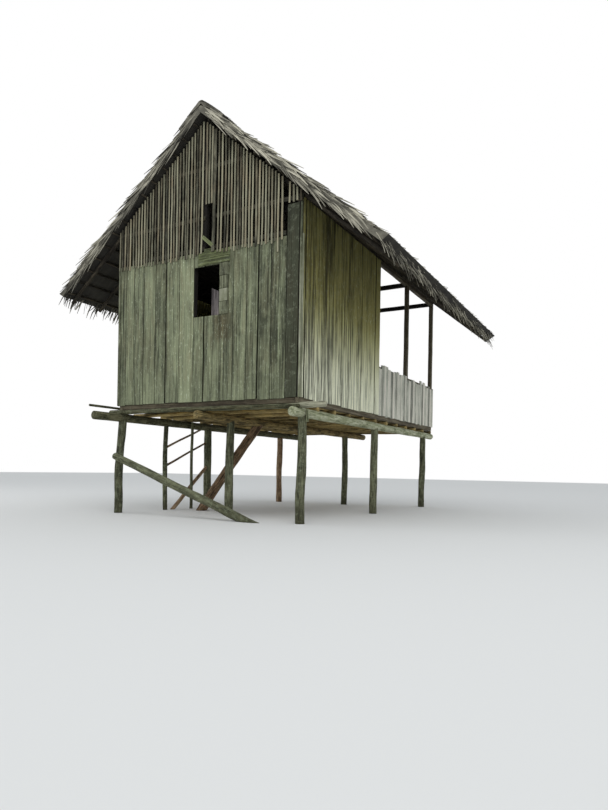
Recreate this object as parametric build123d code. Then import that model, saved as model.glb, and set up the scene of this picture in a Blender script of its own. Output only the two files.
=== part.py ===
from build123d import *
import math
import os

# Stilt house of poles and boards. Millimetres, Z up, the ground at Z = 0.
# X runs to the right along the board gable, Y runs from that gable to the open rear gable.

# Plan
HOUSE_WIDTH = 3940.0
ROOM_DEPTH = 3300.0
FLOOR_LENGTH = 7000.0
CLEARANCE = 0.3

# Ground posts and the pole floor
POST_HEIGHT = 1712.0
POST_D = 155.0
STOUT_POST_D = 172.0
SLENDER_POST_D = 95.0
POST_SADDLE = 40.0
POST_INSET = 80.0
GIRDER_D = 156.0
GIRDER_FRONT_REACH = 640.0
GIRDER_SHORT_REACH = 110.0
GIRDER_BACK_REACH = 90.0
JOIST_D = 80.0
JOIST_SEAT = 15.0
SEAT_ROOM = 3.0
POLE_SIDES = 8
JOIST_TAILS = (260.0, 120.0, 330.0, 90.0, 210.0, 150.0, 290.0)
ROOM_BAYS = 5
VERANDA_BAYS = 6
FRONT_LOG_D = 100.0
FRONT_LOG_LEFT_REACH = 250.0
FRONT_LOG_RIGHT_REACH = 430.0
THIN_POLE_D = 55.0
THIN_POLE_LEFT_REACH = 180.0
EDGE_POLE_D = 45.0
EDGE_POLE_OUT = 80.0
EDGE_POLE_FRONT_REACH = 600.0
SLAT_GAP = 10.0
FLOOR_SLAT_COUNT = 28
FLOOR_THICKNESS = 25.0

# Distances of the ground posts from the front wall
RIGHT_POST_ROW = (230.0, 3290.0, 6440.0)
LEFT_POST_ROW = (60.0, 2650.0, 5800.0)
CENTRE_POST_ROW = (900.0, 5900.0)
SLENDER_POST_Y = 1270.0
THIN_PROP_ROW = 2
THIN_PROP_D = 65.0
LEFT_POST_LEAN = 95.0

# Braces and leaning logs under the floor
DIAGONAL_LOG_D = 150.0
DIAGONAL_HIGH_Z = 1075.0
DIAGONAL_HIGH_REACH = 40.0
DIAGONAL_FOOT_X = 1100.0
LEANING_LOG_D = 200.0
LEANING_FOOT_X = -1230.0
LEANING_FOOT_Y = 1630.0
LEANING_HEAD_Y = 1880.0
FOOT_BRACE_D = 85.0
FOOT_BRACE_Y = 1490.0
FOOT_BRACE_HEAD_Z = 930.0
UPPER_BRACE_D = 45.0
GIRDER_BRACE_FOOT_Z = 1285.0
GIRDER_BRACE_HEAD_Y = 2560.0
POST_BRACE_FOOT_Z = 910.0
POST_BRACE_HEAD_Z = 1470.0
PEG_D = 50.0
PEG_Y = 213.0
PEG_FOOT_Z = 1640.0
PEG_LENGTH = 215.0

# Wall frame
SILL_WIDTH = 80.0
SILL_HEIGHT = 98.0
STUD = 90.0
WALL_HEIGHT = 3200.0
LOFT_HEIGHT = 2520.0
TIE_DEPTH = 100.0
LOFT_THICKNESS = 22.0
BOARD = 25.0
BOARD_LAP = 12.0

# Board walls, heights above the top of the sill
FRONT_BOARD_TOP = 2570.0
FRONT_CORNER_BOARD_TOP = 3080.0
FRONT_CORNER_BOARD_WIDTH = 350.0
PARAPET_HEIGHT = 1000.0
PARAPET_RAIL = 60.0
ENTRY_WIDTH = 900.0
DOOR_WIDTH = 850.0
DOOR_HEIGHT = 1900.0

# Window in the front wall and the slot in the gable, X from the middle of the house
WINDOW_LEFT = -190.0
WINDOW_WIDTH = 560.0
WINDOW_BOTTOM = 1460.0
WINDOW_HEIGHT = 870.0
PANEL_WIDTH = 190.0
PANEL_HEIGHT = 480.0
PANEL_SLANT = 90.0
PANEL_THICKNESS = 20.0
PANEL_LAP = 50.0
SIDE_BOARD_LENGTH = 180.0
SIDE_BOARD_COUNT = 4
SIDE_BOARD_GAP = 6.0
TRIM = 18.0
SLOT_LEFT = 30.0
SLOT_WIDTH = 165.0
SLOT_HEIGHT = 820.0
SLOT_SILL_OVERHANG_LEFT = 120.0
SLOT_SILL_OVERHANG_RIGHT = 380.0
SLOT_SILL_BOARD_HEIGHT = 116.0
SLOT_SILL_GAP = 4.0
SLOT_LEDGE = 45.0
SLANT_BOARD_LENGTH = 290.0
SLANT_BOARD_HEIGHT = 62.0
SLANT_ANGLE = 40.0
CORNER_STRIP_WIDTH = 34.0

# Gable lattice of split poles
SLAT_PITCH = 56.0
SLAT_WIDTH = 37.0
SLAT_THICKNESS = 15.0
SLAT_LAP = 45.0
LATTICE_FOOT_ROOM = 180.0
SLAT_RAGGED = (0.0, 34.0, 12.0, 52.0, 20.0, 42.0, 6.0, 28.0)
RAIL_HEIGHT = 70.0
RAIL_LEVELS = (2600.0, 3130.0, 3990.0)

# Roof
ROOF_PITCH = 39.5
RAFTER_D = 75.0
RAFTER_SEAT = 25.0
RAFTER_TAIL = 1370.0
RAFTER_COUNT = 11
RAFTER_TRIM = 450.0
RIDGE_POLE_D = 100.0
BATTEN = 40.0
BATTEN_COUNT = 14
BATTEN_FROM_RIDGE = 160.0
BATTEN_TO_TAIL = 90.0
BATTEN_END = 20.0
THATCH = 140.0
THATCH_STEP = 50.0
THATCH_COURSES = 17
EAVE_UNDERCUT = 47.0
EAVE_REACH = 1500.0
VERGE_REACH = 140.0
RIDGE_CAP = 62.0
RIDGE_CAP_REACH = 480.0
RIDGE_CAP_ROUND = 90.0

# Levels and places worked out from the sizes above
HALF_WIDTH = HOUSE_WIDTH / 2
FRAME_X = HALF_WIDTH - BOARD
FRONT_Y = -(FLOOR_LENGTH + VERGE_REACH - GIRDER_FRONT_REACH) / 2
REAR_Y = FRONT_Y + FLOOR_LENGTH
ROOM_Y = FRONT_Y + ROOM_DEPTH
GIRDER_X = HALF_WIDTH - POST_INSET
GIRDER_Z = POST_HEIGHT + GIRDER_D / 2
GIRDER_REACHES = {-GIRDER_X: GIRDER_FRONT_REACH, 0: GIRDER_SHORT_REACH, GIRDER_X: GIRDER_SHORT_REACH}
GIRDER_TOP = POST_HEIGHT + GIRDER_D
JOIST_Z = GIRDER_TOP - JOIST_SEAT + JOIST_D / 2
JOIST_TOP = JOIST_Z + JOIST_D / 2
FRONT_LOG_Z = GIRDER_TOP - JOIST_SEAT + FRONT_LOG_D / 2
FRONT_LOG_Y = FRONT_Y + BOARD + SILL_WIDTH / 2
SILL_TOP = JOIST_TOP + SILL_HEIGHT
BOARD_FOOT = SILL_TOP - BOARD_LAP
PLATE_TOP = SILL_TOP + WALL_HEIGHT
TIE_TOP = SILL_TOP + LOFT_HEIGHT
SLOPE = math.radians(ROOF_PITCH)
REAR_STUD_Y = REAR_Y - BOARD - STUD
ROOM_STUD_Y = ROOM_Y - BOARD - STUD
FRONT_STUD_Y = FRONT_Y + BOARD


def roof_z(x, layer):
    """Height at x of the plane that lies layer mm above the rafters' undersides, square to the slope."""
    seat_z = PLATE_TOP - RAFTER_SEAT
    return seat_z + (FRAME_X - abs(x)) * math.tan(SLOPE) + layer / math.cos(SLOPE)


def block(x0, x1, y0, y1, z0, z1):
    """A squared piece between two corners."""
    size = Box(x1 - x0, y1 - y0, z1 - z0, align=Align.MIN)
    return Pos(x0, y0, z0) * size


def pole(start, end, diameter):
    """A round pole between two points."""
    start = Vector(*start)
    run = Vector(*end) - start
    base = Align.CENTER, Align.CENTER, Align.MIN
    return Plane(origin=start, z_dir=run) * Cylinder(diameter / 2, run.length, align=base)


def dressed_pole(start, end, across):
    """A cross pole or rafter dressed to flat sides, one of them square to its underside."""
    start = Vector(*start)
    run = Vector(*end) - start
    place = Plane(origin=start, x_dir=(0, 1, 0), z_dir=run)
    outline = RegularPolygon(across / 2, POLE_SIDES, major_radius=False, rotation=180 / POLE_SIDES)
    return extrude(place * outline, run.length)


def save(name, shapes):
    """Write one named piece, or several like pieces that share a name."""
    shapes = shapes if isinstance(shapes, list) else [shapes]
    solids = [solid for shape in shapes for solid in shape.solids()]
    shape = solids[0] if len(solids) == 1 else Compound(children=solids)
    shape.label = name
    export_step(shape, f"parts/{name}.step")


def girder(x, clearance=0.0):
    """A pole along the house that lies on a row of ground posts, or the room that it takes in a notch."""
    start = (x, FRONT_Y - GIRDER_REACHES[x], GIRDER_Z)
    end = (x, REAR_Y + GIRDER_BACK_REACH, GIRDER_Z)
    return pole(start, end, GIRDER_D + 2 * clearance)


def ground_post(x, y, diameter, clearance=0.0, lean=0.0):
    """A round post with a saddle cut for its girder, or the room that it takes beside a brace."""
    head = Vector(x, y, POST_HEIGHT + POST_SADDLE)
    slant = Vector(lean, 0, head.Z) * (1 + POST_SADDLE / head.Z)
    shaft = pole(head - slant, head, diameter + 2 * clearance)
    return above_ground(shaft) - girder(x, CLEARANCE)


def thin_prop():
    """A thin pole beside the left girder that stands under one of the cross poles."""
    x = (GIRDER_D + THIN_PROP_D) / 2 + CLEARANCE - GIRDER_X
    y = joist_rows()[THIN_PROP_ROW]
    return pole((x, y, 0), (x, y, GIRDER_TOP - JOIST_SEAT - CLEARANCE), THIN_PROP_D)


def joist_rows():
    """Places along the house of the poles that carry the floor, the front log left out."""
    room_end = ROOM_STUD_Y + STUD / 2
    rear_end = REAR_STUD_Y + STUD / 2
    room_bay = (room_end - FRONT_LOG_Y) / ROOM_BAYS
    veranda_bay = (rear_end - room_end) / VERANDA_BAYS
    room_rows = [FRONT_LOG_Y + room_bay * i for i in range(1, ROOM_BAYS + 1)]
    return room_rows + [room_end + veranda_bay * i for i in range(1, VERANDA_BAYS + 1)]


def notch_on_girders(log, y):
    """Cut flat seats in a cross pole where it lies over the three girders."""
    half_seat = math.sqrt((GIRDER_D / 2) ** 2 - (GIRDER_D / 2 - JOIST_SEAT) ** 2) + SEAT_ROOM
    for x in GIRDER_REACHES:
        log = log - block(x - half_seat, x + half_seat, y - GIRDER_D, y + GIRDER_D,
                          GIRDER_Z, GIRDER_TOP + CLEARANCE)
    return log


def floor_joists():
    """Cross poles, ragged past the left girder and cut off in line at the right wall."""
    joists = []
    for i, y in enumerate(joist_rows()):
        left = -HALF_WIDTH - JOIST_TAILS[i % len(JOIST_TAILS)]
        joist = dressed_pole((left, y, JOIST_Z), (FRAME_X, y, JOIST_Z), JOIST_D)
        joists.append(notch_on_girders(joist, y))
    return joists


def front_cross_log():
    """The stout log under the front wall, hewn flat where the sill lies on it."""
    start = (HALF_WIDTH + FRONT_LOG_RIGHT_REACH, FRONT_LOG_Y, FRONT_LOG_Z)
    end = (-HALF_WIDTH - FRONT_LOG_LEFT_REACH, FRONT_LOG_Y, FRONT_LOG_Z)
    log = notch_on_girders(pole(start, end, FRONT_LOG_D), FRONT_LOG_Y)
    hewn = block(-HALF_WIDTH, HALF_WIDTH, FRONT_LOG_Y - FRONT_LOG_D, FRONT_LOG_Y + FRONT_LOG_D,
                 JOIST_TOP, JOIST_TOP + FRONT_LOG_D)
    return log - hewn


def thin_front_pole():
    """A slim pole laid beside the front log."""
    y = FRONT_LOG_Y - (FRONT_LOG_D + THIN_POLE_D) / 2 - CLEARANCE
    z = GIRDER_TOP - JOIST_SEAT + THIN_POLE_D / 2
    start = (HALF_WIDTH, y, z)
    end = (-HALF_WIDTH - THIN_POLE_LEFT_REACH, y, z)
    return notch_on_girders(dressed_pole(start, end, THIN_POLE_D), y)


def left_edge_pole():
    """A slim pole along the left edge that lies on the front log and on the last cross pole."""
    x = -HALF_WIDTH - EDGE_POLE_OUT
    lift = EDGE_POLE_D / 2 + CLEARANCE
    front_z = FRONT_LOG_Z + FRONT_LOG_D / 2 + lift
    rear_z = JOIST_TOP + lift
    fall = (front_z - rear_z) / (joist_rows()[-1] - FRONT_LOG_Y)
    y0 = FRONT_Y - EDGE_POLE_FRONT_REACH
    start = (x, y0, front_z + fall * (FRONT_LOG_Y - y0))
    end = (x, REAR_Y, front_z - fall * (REAR_Y - FRONT_LOG_Y))
    return pole(start, end, EDGE_POLE_D)


def floor_slats(y0, y1):
    """Split trunks laid side by side on the joists."""
    clear_width = 2 * (FRAME_X - SILL_WIDTH - CLEARANCE)
    pitch = (clear_width + SLAT_GAP) / FLOOR_SLAT_COUNT
    left = -clear_width / 2
    return [block(left + i * pitch, left + (i + 1) * pitch - SLAT_GAP, y0 + CLEARANCE, y1 - CLEARANCE,
                  JOIST_TOP, JOIST_TOP + FLOOR_THICKNESS) for i in range(FLOOR_SLAT_COUNT)]


def floor_deck():
    """The slats of the room and of the veranda, parted by the sill of the room's rear wall."""
    room = floor_slats(FRONT_STUD_Y + SILL_WIDTH, ROOM_STUD_Y + STUD - SILL_WIDTH)
    veranda = floor_slats(ROOM_STUD_Y + STUD, REAR_STUD_Y + STUD - SILL_WIDTH)
    return room + veranda


def side_sills():
    """Squared beams along both edges of the floor."""
    return [block(min(s * FRAME_X, s * (FRAME_X - SILL_WIDTH)), max(s * FRAME_X, s * (FRAME_X - SILL_WIDTH)),
                  FRONT_STUD_Y, REAR_STUD_Y + STUD, JOIST_TOP, SILL_TOP) for s in (-1, 1)]


def cross_sills():
    """Squared beams under the front wall, the room's rear wall and the rear parapet."""
    x = FRAME_X - SILL_WIDTH - CLEARANCE
    fronts = (FRONT_STUD_Y, ROOM_STUD_Y + STUD - SILL_WIDTH, REAR_STUD_Y + STUD - SILL_WIDTH)
    return [block(-x, x, y, y + SILL_WIDTH, JOIST_TOP, SILL_TOP) for y in fronts]


def diagonal_log():
    """A log that leans along the front from the left post down to the ground."""
    y = FRONT_Y + LEFT_POST_ROW[0] - (POST_D + DIAGONAL_LOG_D) / 2 - CLEARANCE
    high = (-GIRDER_X - DIAGONAL_HIGH_REACH, y, DIAGONAL_HIGH_Z)
    foot = (DIAGONAL_FOOT_X, y, 0)
    return above_ground(pole(high, foot, DIAGONAL_LOG_D))


def above_ground(shape):
    """Cut away what reaches below the ground."""
    return shape - block(-FLOOR_LENGTH, FLOOR_LENGTH, -FLOOR_LENGTH, FLOOR_LENGTH, -HOUSE_WIDTH, 0)


def leaning_log():
    """A thick log propped against the middle girder."""
    foot = (LEANING_FOOT_X, FRONT_Y + LEANING_FOOT_Y, 0)
    head = (0, FRONT_Y + LEANING_HEAD_Y, GIRDER_Z)
    return above_ground(pole(foot, head, LEANING_LOG_D)) - girder(0, CLEARANCE)


def foot_brace():
    """A slanted strut from the ground to the middle post of the left row."""
    post_y = FRONT_Y + LEFT_POST_ROW[1]
    foot = (-GIRDER_X, FRONT_Y + FOOT_BRACE_Y, 0)
    head = (-GIRDER_X, post_y, FOOT_BRACE_HEAD_Z)
    post = ground_post(-GIRDER_X, post_y, STOUT_POST_D, CLEARANCE)
    return above_ground(pole(foot, head, FOOT_BRACE_D)) - post


def upper_braces():
    """Two thin poles from the slender post, one up to the girder and one up to the stout post."""
    slender_y = FRONT_Y + SLENDER_POST_Y
    stout_y = FRONT_Y + LEFT_POST_ROW[1]
    slender = ground_post(-GIRDER_X, slender_y, SLENDER_POST_D, CLEARANCE)
    stout = ground_post(-GIRDER_X, stout_y, STOUT_POST_D, CLEARANCE)
    girder_head = (-GIRDER_X, FRONT_Y + GIRDER_BRACE_HEAD_Y, GIRDER_Z)
    post_head = (-GIRDER_X, stout_y, POST_BRACE_HEAD_Z)
    high = pole((-GIRDER_X, slender_y, GIRDER_BRACE_FOOT_Z), girder_head, UPPER_BRACE_D)
    low = pole((-GIRDER_X, slender_y, POST_BRACE_FOOT_Z), post_head, UPPER_BRACE_D)
    return [high - slender - girder(-GIRDER_X, CLEARANCE), low - slender - stout]


def girder_peg():
    """A short upright peg on the outer side of the right girder, beside the corner post."""
    x = GIRDER_X + (GIRDER_D + PEG_D) / 2 + CLEARANCE
    y = FRONT_Y + PEG_Y
    return pole((x, y, PEG_FOOT_Z), (x, y, PEG_FOOT_Z + PEG_LENGTH), PEG_D)


def stud(x, y, top):
    """A squared upright on a sill, its left front corner at x and y."""
    return block(x, x + STUD, y, y + STUD, SILL_TOP, top)


def wall_posts():
    """Posts at the corners and middles of the room and beside its window and door."""
    plate_foot = PLATE_TOP - STUD
    tie_foot = TIE_TOP - TIE_DEPTH
    middle_y = (FRONT_STUD_Y + ROOM_STUD_Y) / 2
    posts = [stud(x, y, plate_foot) for x in (-FRAME_X, FRAME_X - STUD)
             for y in (FRONT_STUD_Y, middle_y, ROOM_STUD_Y)]
    window_sides = (WINDOW_LEFT - STUD, WINDOW_LEFT + WINDOW_WIDTH)
    door_sides = (-DOOR_WIDTH / 2 - STUD, DOOR_WIDTH / 2)
    posts += [stud(x, FRONT_STUD_Y, tie_foot) for x in window_sides]
    return posts + [stud(x, ROOM_STUD_Y, tie_foot) for x in door_sides]


def veranda_posts():
    """Posts that carry the roof over the open end."""
    middle_y = (ROOM_STUD_Y + REAR_STUD_Y) / 2
    return [stud(x, y, PLATE_TOP - STUD) for x in (-FRAME_X, FRAME_X - STUD) for y in (middle_y, REAR_STUD_Y)]


def wall_plates():
    """Beams along the tops of the posts."""
    return [block(x, x + STUD, FRONT_STUD_Y, REAR_STUD_Y + STUD, PLATE_TOP - STUD, PLATE_TOP)
            for x in (-FRAME_X, FRAME_X - STUD)]


def tie_beams():
    """Cross beams: three under the loft floor and two between the plates over the veranda."""
    x = FRAME_X - STUD - CLEARANCE
    loft_rows = (FRONT_STUD_Y, (FRONT_STUD_Y + ROOM_STUD_Y) / 2, ROOM_STUD_Y)
    ties = [block(-x, x, y, y + STUD, TIE_TOP - TIE_DEPTH, TIE_TOP) for y in loft_rows]
    high_rows = ((ROOM_STUD_Y + REAR_STUD_Y) / 2, REAR_STUD_Y)
    return ties + [block(-x, x, y, y + STUD, PLATE_TOP - STUD, PLATE_TOP) for y in high_rows]


def ridge_axis_z(clearance):
    """Height of a ridge pole that both slopes of rafters rest on."""
    return roof_z(0, -RIDGE_POLE_D / 2 - clearance)


def ridge_pole():
    """The pole under the meeting of the rafters."""
    z = ridge_axis_z(CLEARANCE)
    return pole((0, FRONT_STUD_Y, z), (0, REAR_STUD_Y + STUD, z), RIDGE_POLE_D)


def king_posts():
    """Uprights from the tie beams to the ridge pole."""
    z = ridge_axis_z(CLEARANCE)
    groove = pole((0, FRONT_Y, z), (0, REAR_Y, z), RIDGE_POLE_D + 2 * CLEARANCE)
    feet = ((FRONT_STUD_Y, TIE_TOP), (ROOM_STUD_Y, TIE_TOP), (REAR_STUD_Y, PLATE_TOP))
    return [block(-STUD / 2, STUD / 2, y, y + STUD, foot, z) - groove for y, foot in feet]


def loft_floor():
    """Boards on the low tie beams, notched round the king posts."""
    x = FRAME_X - STUD - CLEARANCE
    deck = block(-x, x, FRONT_STUD_Y, ROOM_STUD_Y + STUD, TIE_TOP, TIE_TOP + LOFT_THICKNESS)
    room = STUD / 2 + CLEARANCE
    for y in (FRONT_STUD_Y, ROOM_STUD_Y):
        deck = deck - block(-room, room, y - room, y + STUD + room, TIE_TOP, TIE_TOP + STUD)
    return deck


def rafter(side, y):
    """One round rafter, cut plumb at the ridge and seated over the wall plate."""
    tail_x = FRAME_X + RAFTER_TAIL
    head_x = -RAFTER_D
    start = (side * head_x, y, roof_z(0, RAFTER_D / 2) - head_x * math.tan(SLOPE))
    end = (side * tail_x, y, roof_z(tail_x, RAFTER_D / 2))
    log = dressed_pole(start, end, RAFTER_D)
    far = side * (CLEARANCE / 2 - RAFTER_TRIM)
    near = side * CLEARANCE / 2
    z = roof_z(0, 0)
    log = log - block(min(far, near), max(far, near), y - RAFTER_D, y + RAFTER_D,
                      z - RAFTER_TRIM, z + RAFTER_TRIM)
    inner = side * (FRAME_X - STUD - CLEARANCE)
    outer = side * (FRAME_X + CLEARANCE)
    plate_room = block(min(inner, outer), max(inner, outer), y - RAFTER_D, y + RAFTER_D,
                       PLATE_TOP - STUD, PLATE_TOP + CLEARANCE)
    return log - plate_room


def rafter_rows():
    """Places of the rafters, the outer ones against the gables' boards."""
    first = FRONT_Y + BOARD + RAFTER_D / 2 + CLEARANCE
    last = REAR_Y - BOARD - RAFTER_D / 2 - CLEARANCE
    return [first + (last - first) * i / (RAFTER_COUNT - 1) for i in range(RAFTER_COUNT)]


def rafters(side):
    return [rafter(side, y) for y in rafter_rows()]


def battens(side):
    """Six-sided poles across the rafters that the thatch is tied to."""
    length = FLOOR_LENGTH + 2 * (VERGE_REACH - BATTEN_END)
    tail_x = FRAME_X + RAFTER_TAIL - BATTEN_TO_TAIL
    rods = []
    for i in range(BATTEN_COUNT):
        x = BATTEN_FROM_RIDGE + (tail_x - BATTEN_FROM_RIDGE) * i / (BATTEN_COUNT - 1)
        z = roof_z(x, RAFTER_D + BATTEN / 2 + CLEARANCE)
        across = Vector(side * math.cos(SLOPE), 0, -math.sin(SLOPE))
        start = Plane(origin=(side * x, FRONT_Y - VERGE_REACH + BATTEN_END, z), x_dir=across, z_dir=(0, 1, 0))
        rods.append(extrude(start * RegularPolygon(BATTEN / 2, 6, major_radius=False), length))
    return rods


def slope_point(side, along, layer):
    """A point of the roof's cross-section: along the slope from the ridge line, and square to it."""
    x = along * math.cos(SLOPE) + layer * math.sin(SLOPE)
    z = roof_z(0, 0) - along * math.sin(SLOPE) + layer * math.cos(SLOPE)
    return side * x, z


def thatch_layers():
    """Undersides of the thatch and of the ridge cap, square to the slope."""
    underside = RAFTER_D + BATTEN + 2 * CLEARANCE
    return underside, underside + THATCH


def thatch(side):
    """Palm thatch in lapped courses, each with its butts standing proud of the course below."""
    under, top = thatch_layers()
    slope_length = (FRAME_X + BOARD + EAVE_REACH) / math.cos(SLOPE)
    course = slope_length / THATCH_COURSES
    meet = CLEARANCE / 2 / math.cos(SLOPE)
    outline = [slope_point(side, meet - under * math.tan(SLOPE), under)]
    outline.append(slope_point(side, meet - (top - THATCH_STEP) * math.tan(SLOPE), top - THATCH_STEP))
    for i in range(1, THATCH_COURSES + 1):
        along = i * course - top * math.tan(SLOPE)
        outline.append(slope_point(side, along, top))
        if i < THATCH_COURSES:
            outline.append(slope_point(side, along - THATCH_STEP / 2, top - THATCH_STEP))
    eave = slope_length - top * math.tan(SLOPE) - EAVE_UNDERCUT
    outline.append(slope_point(side, eave, under))
    return roof_prism(outline)


def roof_prism(outline):
    """Carry a cross-section of the roof from verge to verge."""
    start = Plane(origin=(0, FRONT_Y - VERGE_REACH, 0), x_dir=(1, 0, 0), z_dir=(0, -1, 0))
    face = make_face(Polyline(*outline, close=True))
    return extrude(start * face, -(FLOOR_LENGTH + 2 * VERGE_REACH))


def ridge_cap():
    """A thick saddle of thatch over the ridge, rounded on top."""
    inner = thatch_layers()[1] + CLEARANCE
    outer = inner + RIDGE_CAP
    reach = RIDGE_CAP_REACH / math.cos(SLOPE)
    outline = []
    for side in (-1, 1):
        foot = slope_point(side, reach - outer * math.tan(SLOPE), inner)
        lip = slope_point(side, reach - outer * math.tan(SLOPE), outer)
        outline.append((foot, lip) if side < 0 else (lip, foot))
    crown = (0, roof_z(0, outer))
    crook = (0, roof_z(0, inner))
    points = [*outline[0], crown, *outline[1], crook]
    cap = roof_prism(points)
    crest = cap.edges().filter_by(Axis.Y).sort_by(Axis.Z)[-1]
    return fillet(crest, RIDGE_CAP_ROUND)


def upright_face(points, y, thickness):
    """A flat piece that stands across the house, from its outline in X and Z."""
    start = Plane(origin=(0, y, 0), x_dir=(1, 0, 0), z_dir=(0, -1, 0))
    return extrude(start * make_face(Polyline(*points, close=True)), -thickness)


def front_wall():
    """Front boards with the window cut through, higher beside the right corner."""
    step_x = HALF_WIDTH - FRONT_CORNER_BOARD_WIDTH
    low = SILL_TOP + FRONT_BOARD_TOP
    high = SILL_TOP + FRONT_CORNER_BOARD_TOP
    outline = [(-HALF_WIDTH, BOARD_FOOT), (HALF_WIDTH, BOARD_FOOT), (HALF_WIDTH, high),
               (step_x, high), (step_x, low), (-HALF_WIDTH, low)]
    wall = upright_face(outline, FRONT_Y, BOARD)
    sill = SILL_TOP + WINDOW_BOTTOM
    window = block(WINDOW_LEFT, WINDOW_LEFT + WINDOW_WIDTH, FRONT_Y - BOARD, FRONT_Y + 2 * BOARD,
                   sill, sill + WINDOW_HEIGHT)
    return wall - window


def back_wall():
    """The room's rear boards with the doorway cut through."""
    wall = block(-FRAME_X, FRAME_X, ROOM_Y - BOARD, ROOM_Y, BOARD_FOOT, SILL_TOP + FRONT_BOARD_TOP)
    door = block(-DOOR_WIDTH / 2, DOOR_WIDTH / 2, ROOM_Y - 2 * BOARD, ROOM_Y + BOARD,
                 SILL_TOP, SILL_TOP + DOOR_HEIGHT)
    sill_x = FRAME_X - SILL_WIDTH - CLEARANCE
    for x0, x1 in ((-HALF_WIDTH, -sill_x), (sill_x, HALF_WIDTH)):
        wall = wall - block(x0, x1, ROOM_Y - 2 * BOARD, ROOM_Y + BOARD, JOIST_TOP, SILL_TOP)
    return wall - door


def side_wall(side):
    """Boards on the long side of the room, up to the rafters."""
    inner = side * FRAME_X
    outer = side * HALF_WIDTH
    top = roof_z(HALF_WIDTH, 0) - CLEARANCE
    return block(min(inner, outer), max(inner, outer), FRONT_Y + BOARD, ROOM_Y, BOARD_FOOT, top)


def parapet_side(side):
    """The low board parapet along one side of the veranda."""
    inner = side * FRAME_X
    outer = side * HALF_WIDTH
    return block(min(inner, outer), max(inner, outer), ROOM_Y, REAR_Y - BOARD,
                 BOARD_FOOT, SILL_TOP + PARAPET_HEIGHT)


def rear_parapet():
    """The rear parapet, in two lengths beside the way in."""
    half_entry = ENTRY_WIDTH / 2
    return [block(x0, x1, REAR_Y - BOARD, REAR_Y, BOARD_FOOT, SILL_TOP + PARAPET_HEIGHT)
            for x0, x1 in ((-HALF_WIDTH, -half_entry), (half_entry, HALF_WIDTH))]


def parapet_rails():
    """Rails between the veranda posts and beside the way in, with the entry's short posts."""
    top = SILL_TOP + PARAPET_HEIGHT
    foot = top - PARAPET_RAIL
    middle_y = (ROOM_STUD_Y + REAR_STUD_Y) / 2
    bays = ((ROOM_Y, middle_y), (middle_y + STUD, REAR_STUD_Y))
    rails = [block(x, x + PARAPET_RAIL, y0, y1, foot, top)
             for x in (-FRAME_X, FRAME_X - PARAPET_RAIL) for y0, y1 in bays]
    y = REAR_Y - BOARD
    half_entry = ENTRY_WIDTH / 2
    reach = FRAME_X - STUD
    for side in (-1, 1):
        post_x = min(side * half_entry, side * (half_entry + PARAPET_RAIL))
        rails.append(block(post_x, post_x + PARAPET_RAIL, y - PARAPET_RAIL, y, SILL_TOP, top))
        ends = sorted((side * (half_entry + PARAPET_RAIL + CLEARANCE), side * reach))
        rails.append(block(ends[0], ends[1], y - PARAPET_RAIL, y, foot, top))
    return rails


def gable_region(y, thickness, foot, half_width):
    """The space between a foot line and the battens, standing across the house."""
    layer = RAFTER_D - CLEARANCE
    shoulder = roof_z(half_width, layer)
    outline = [(-half_width, foot), (half_width, foot), (half_width, shoulder), (0, roof_z(0, layer)),
               (-half_width, shoulder)]
    return upright_face(outline, y, thickness)


def slat_foot(x, has_slot):
    """Lower end of a gable slat before its ragged share is added."""
    over_corner = has_slot and x > HALF_WIDTH - FRONT_CORNER_BOARD_WIDTH
    over_sill = has_slot and SLOT_LEFT - SLOT_SILL_OVERHANG_LEFT - SLAT_WIDTH < x < slot_sill_right()
    if over_corner:
        return SILL_TOP + FRONT_CORNER_BOARD_TOP - SLAT_LAP
    if over_sill:
        return slot_sill_top() + SLOT_SILL_GAP
    return SILL_TOP + FRONT_BOARD_TOP - SLAT_LAP


def slot_sill_right():
    return SLOT_LEFT + SLOT_WIDTH + SLOT_SILL_OVERHANG_RIGHT


def slot_sill_foot():
    return SILL_TOP + WINDOW_BOTTOM + WINDOW_HEIGHT + SLOT_SILL_GAP


def slot_sill_top():
    return slot_sill_foot() + 2 * SLOT_SILL_BOARD_HEIGHT + SLOT_SILL_GAP


def gable_slats(slat_y, rail_y, has_slot):
    """Upright split poles, fused to the rails that carry them and cut off along the roof."""
    base = SILL_TOP + FRONT_BOARD_TOP
    peak = roof_z(0, RAFTER_D)
    count = int(HOUSE_WIDTH // SLAT_PITCH)
    first = -(count - 1) * SLAT_PITCH / 2 - SLAT_WIDTH / 2
    slats = []
    for i in range(count):
        x = first + i * SLAT_PITCH
        foot = slat_foot(x, has_slot)
        ragged = 0 if foot == slot_sill_top() + SLOT_SILL_GAP else SLAT_RAGGED[i % len(SLAT_RAGGED)]
        slats.append(block(x, x + SLAT_WIDTH, slat_y, slat_y + SLAT_THICKNESS, foot - ragged, peak))
    rails = [block(-HALF_WIDTH, HALF_WIDTH, rail_y, rail_y + BOARD, SILL_TOP + z, SILL_TOP + z + RAIL_HEIGHT)
             for z in RAIL_LEVELS]
    half_width = HALF_WIDTH if has_slot else FRAME_X
    fields = gable_region(min(slat_y, rail_y), BOARD + SLAT_THICKNESS, base - LATTICE_FOOT_ROOM, half_width)
    lattice = slats[0].fuse(*slats[1:], *rails) & fields
    return lattice - (front_cuts() if has_slot else rear_cuts())


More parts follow.
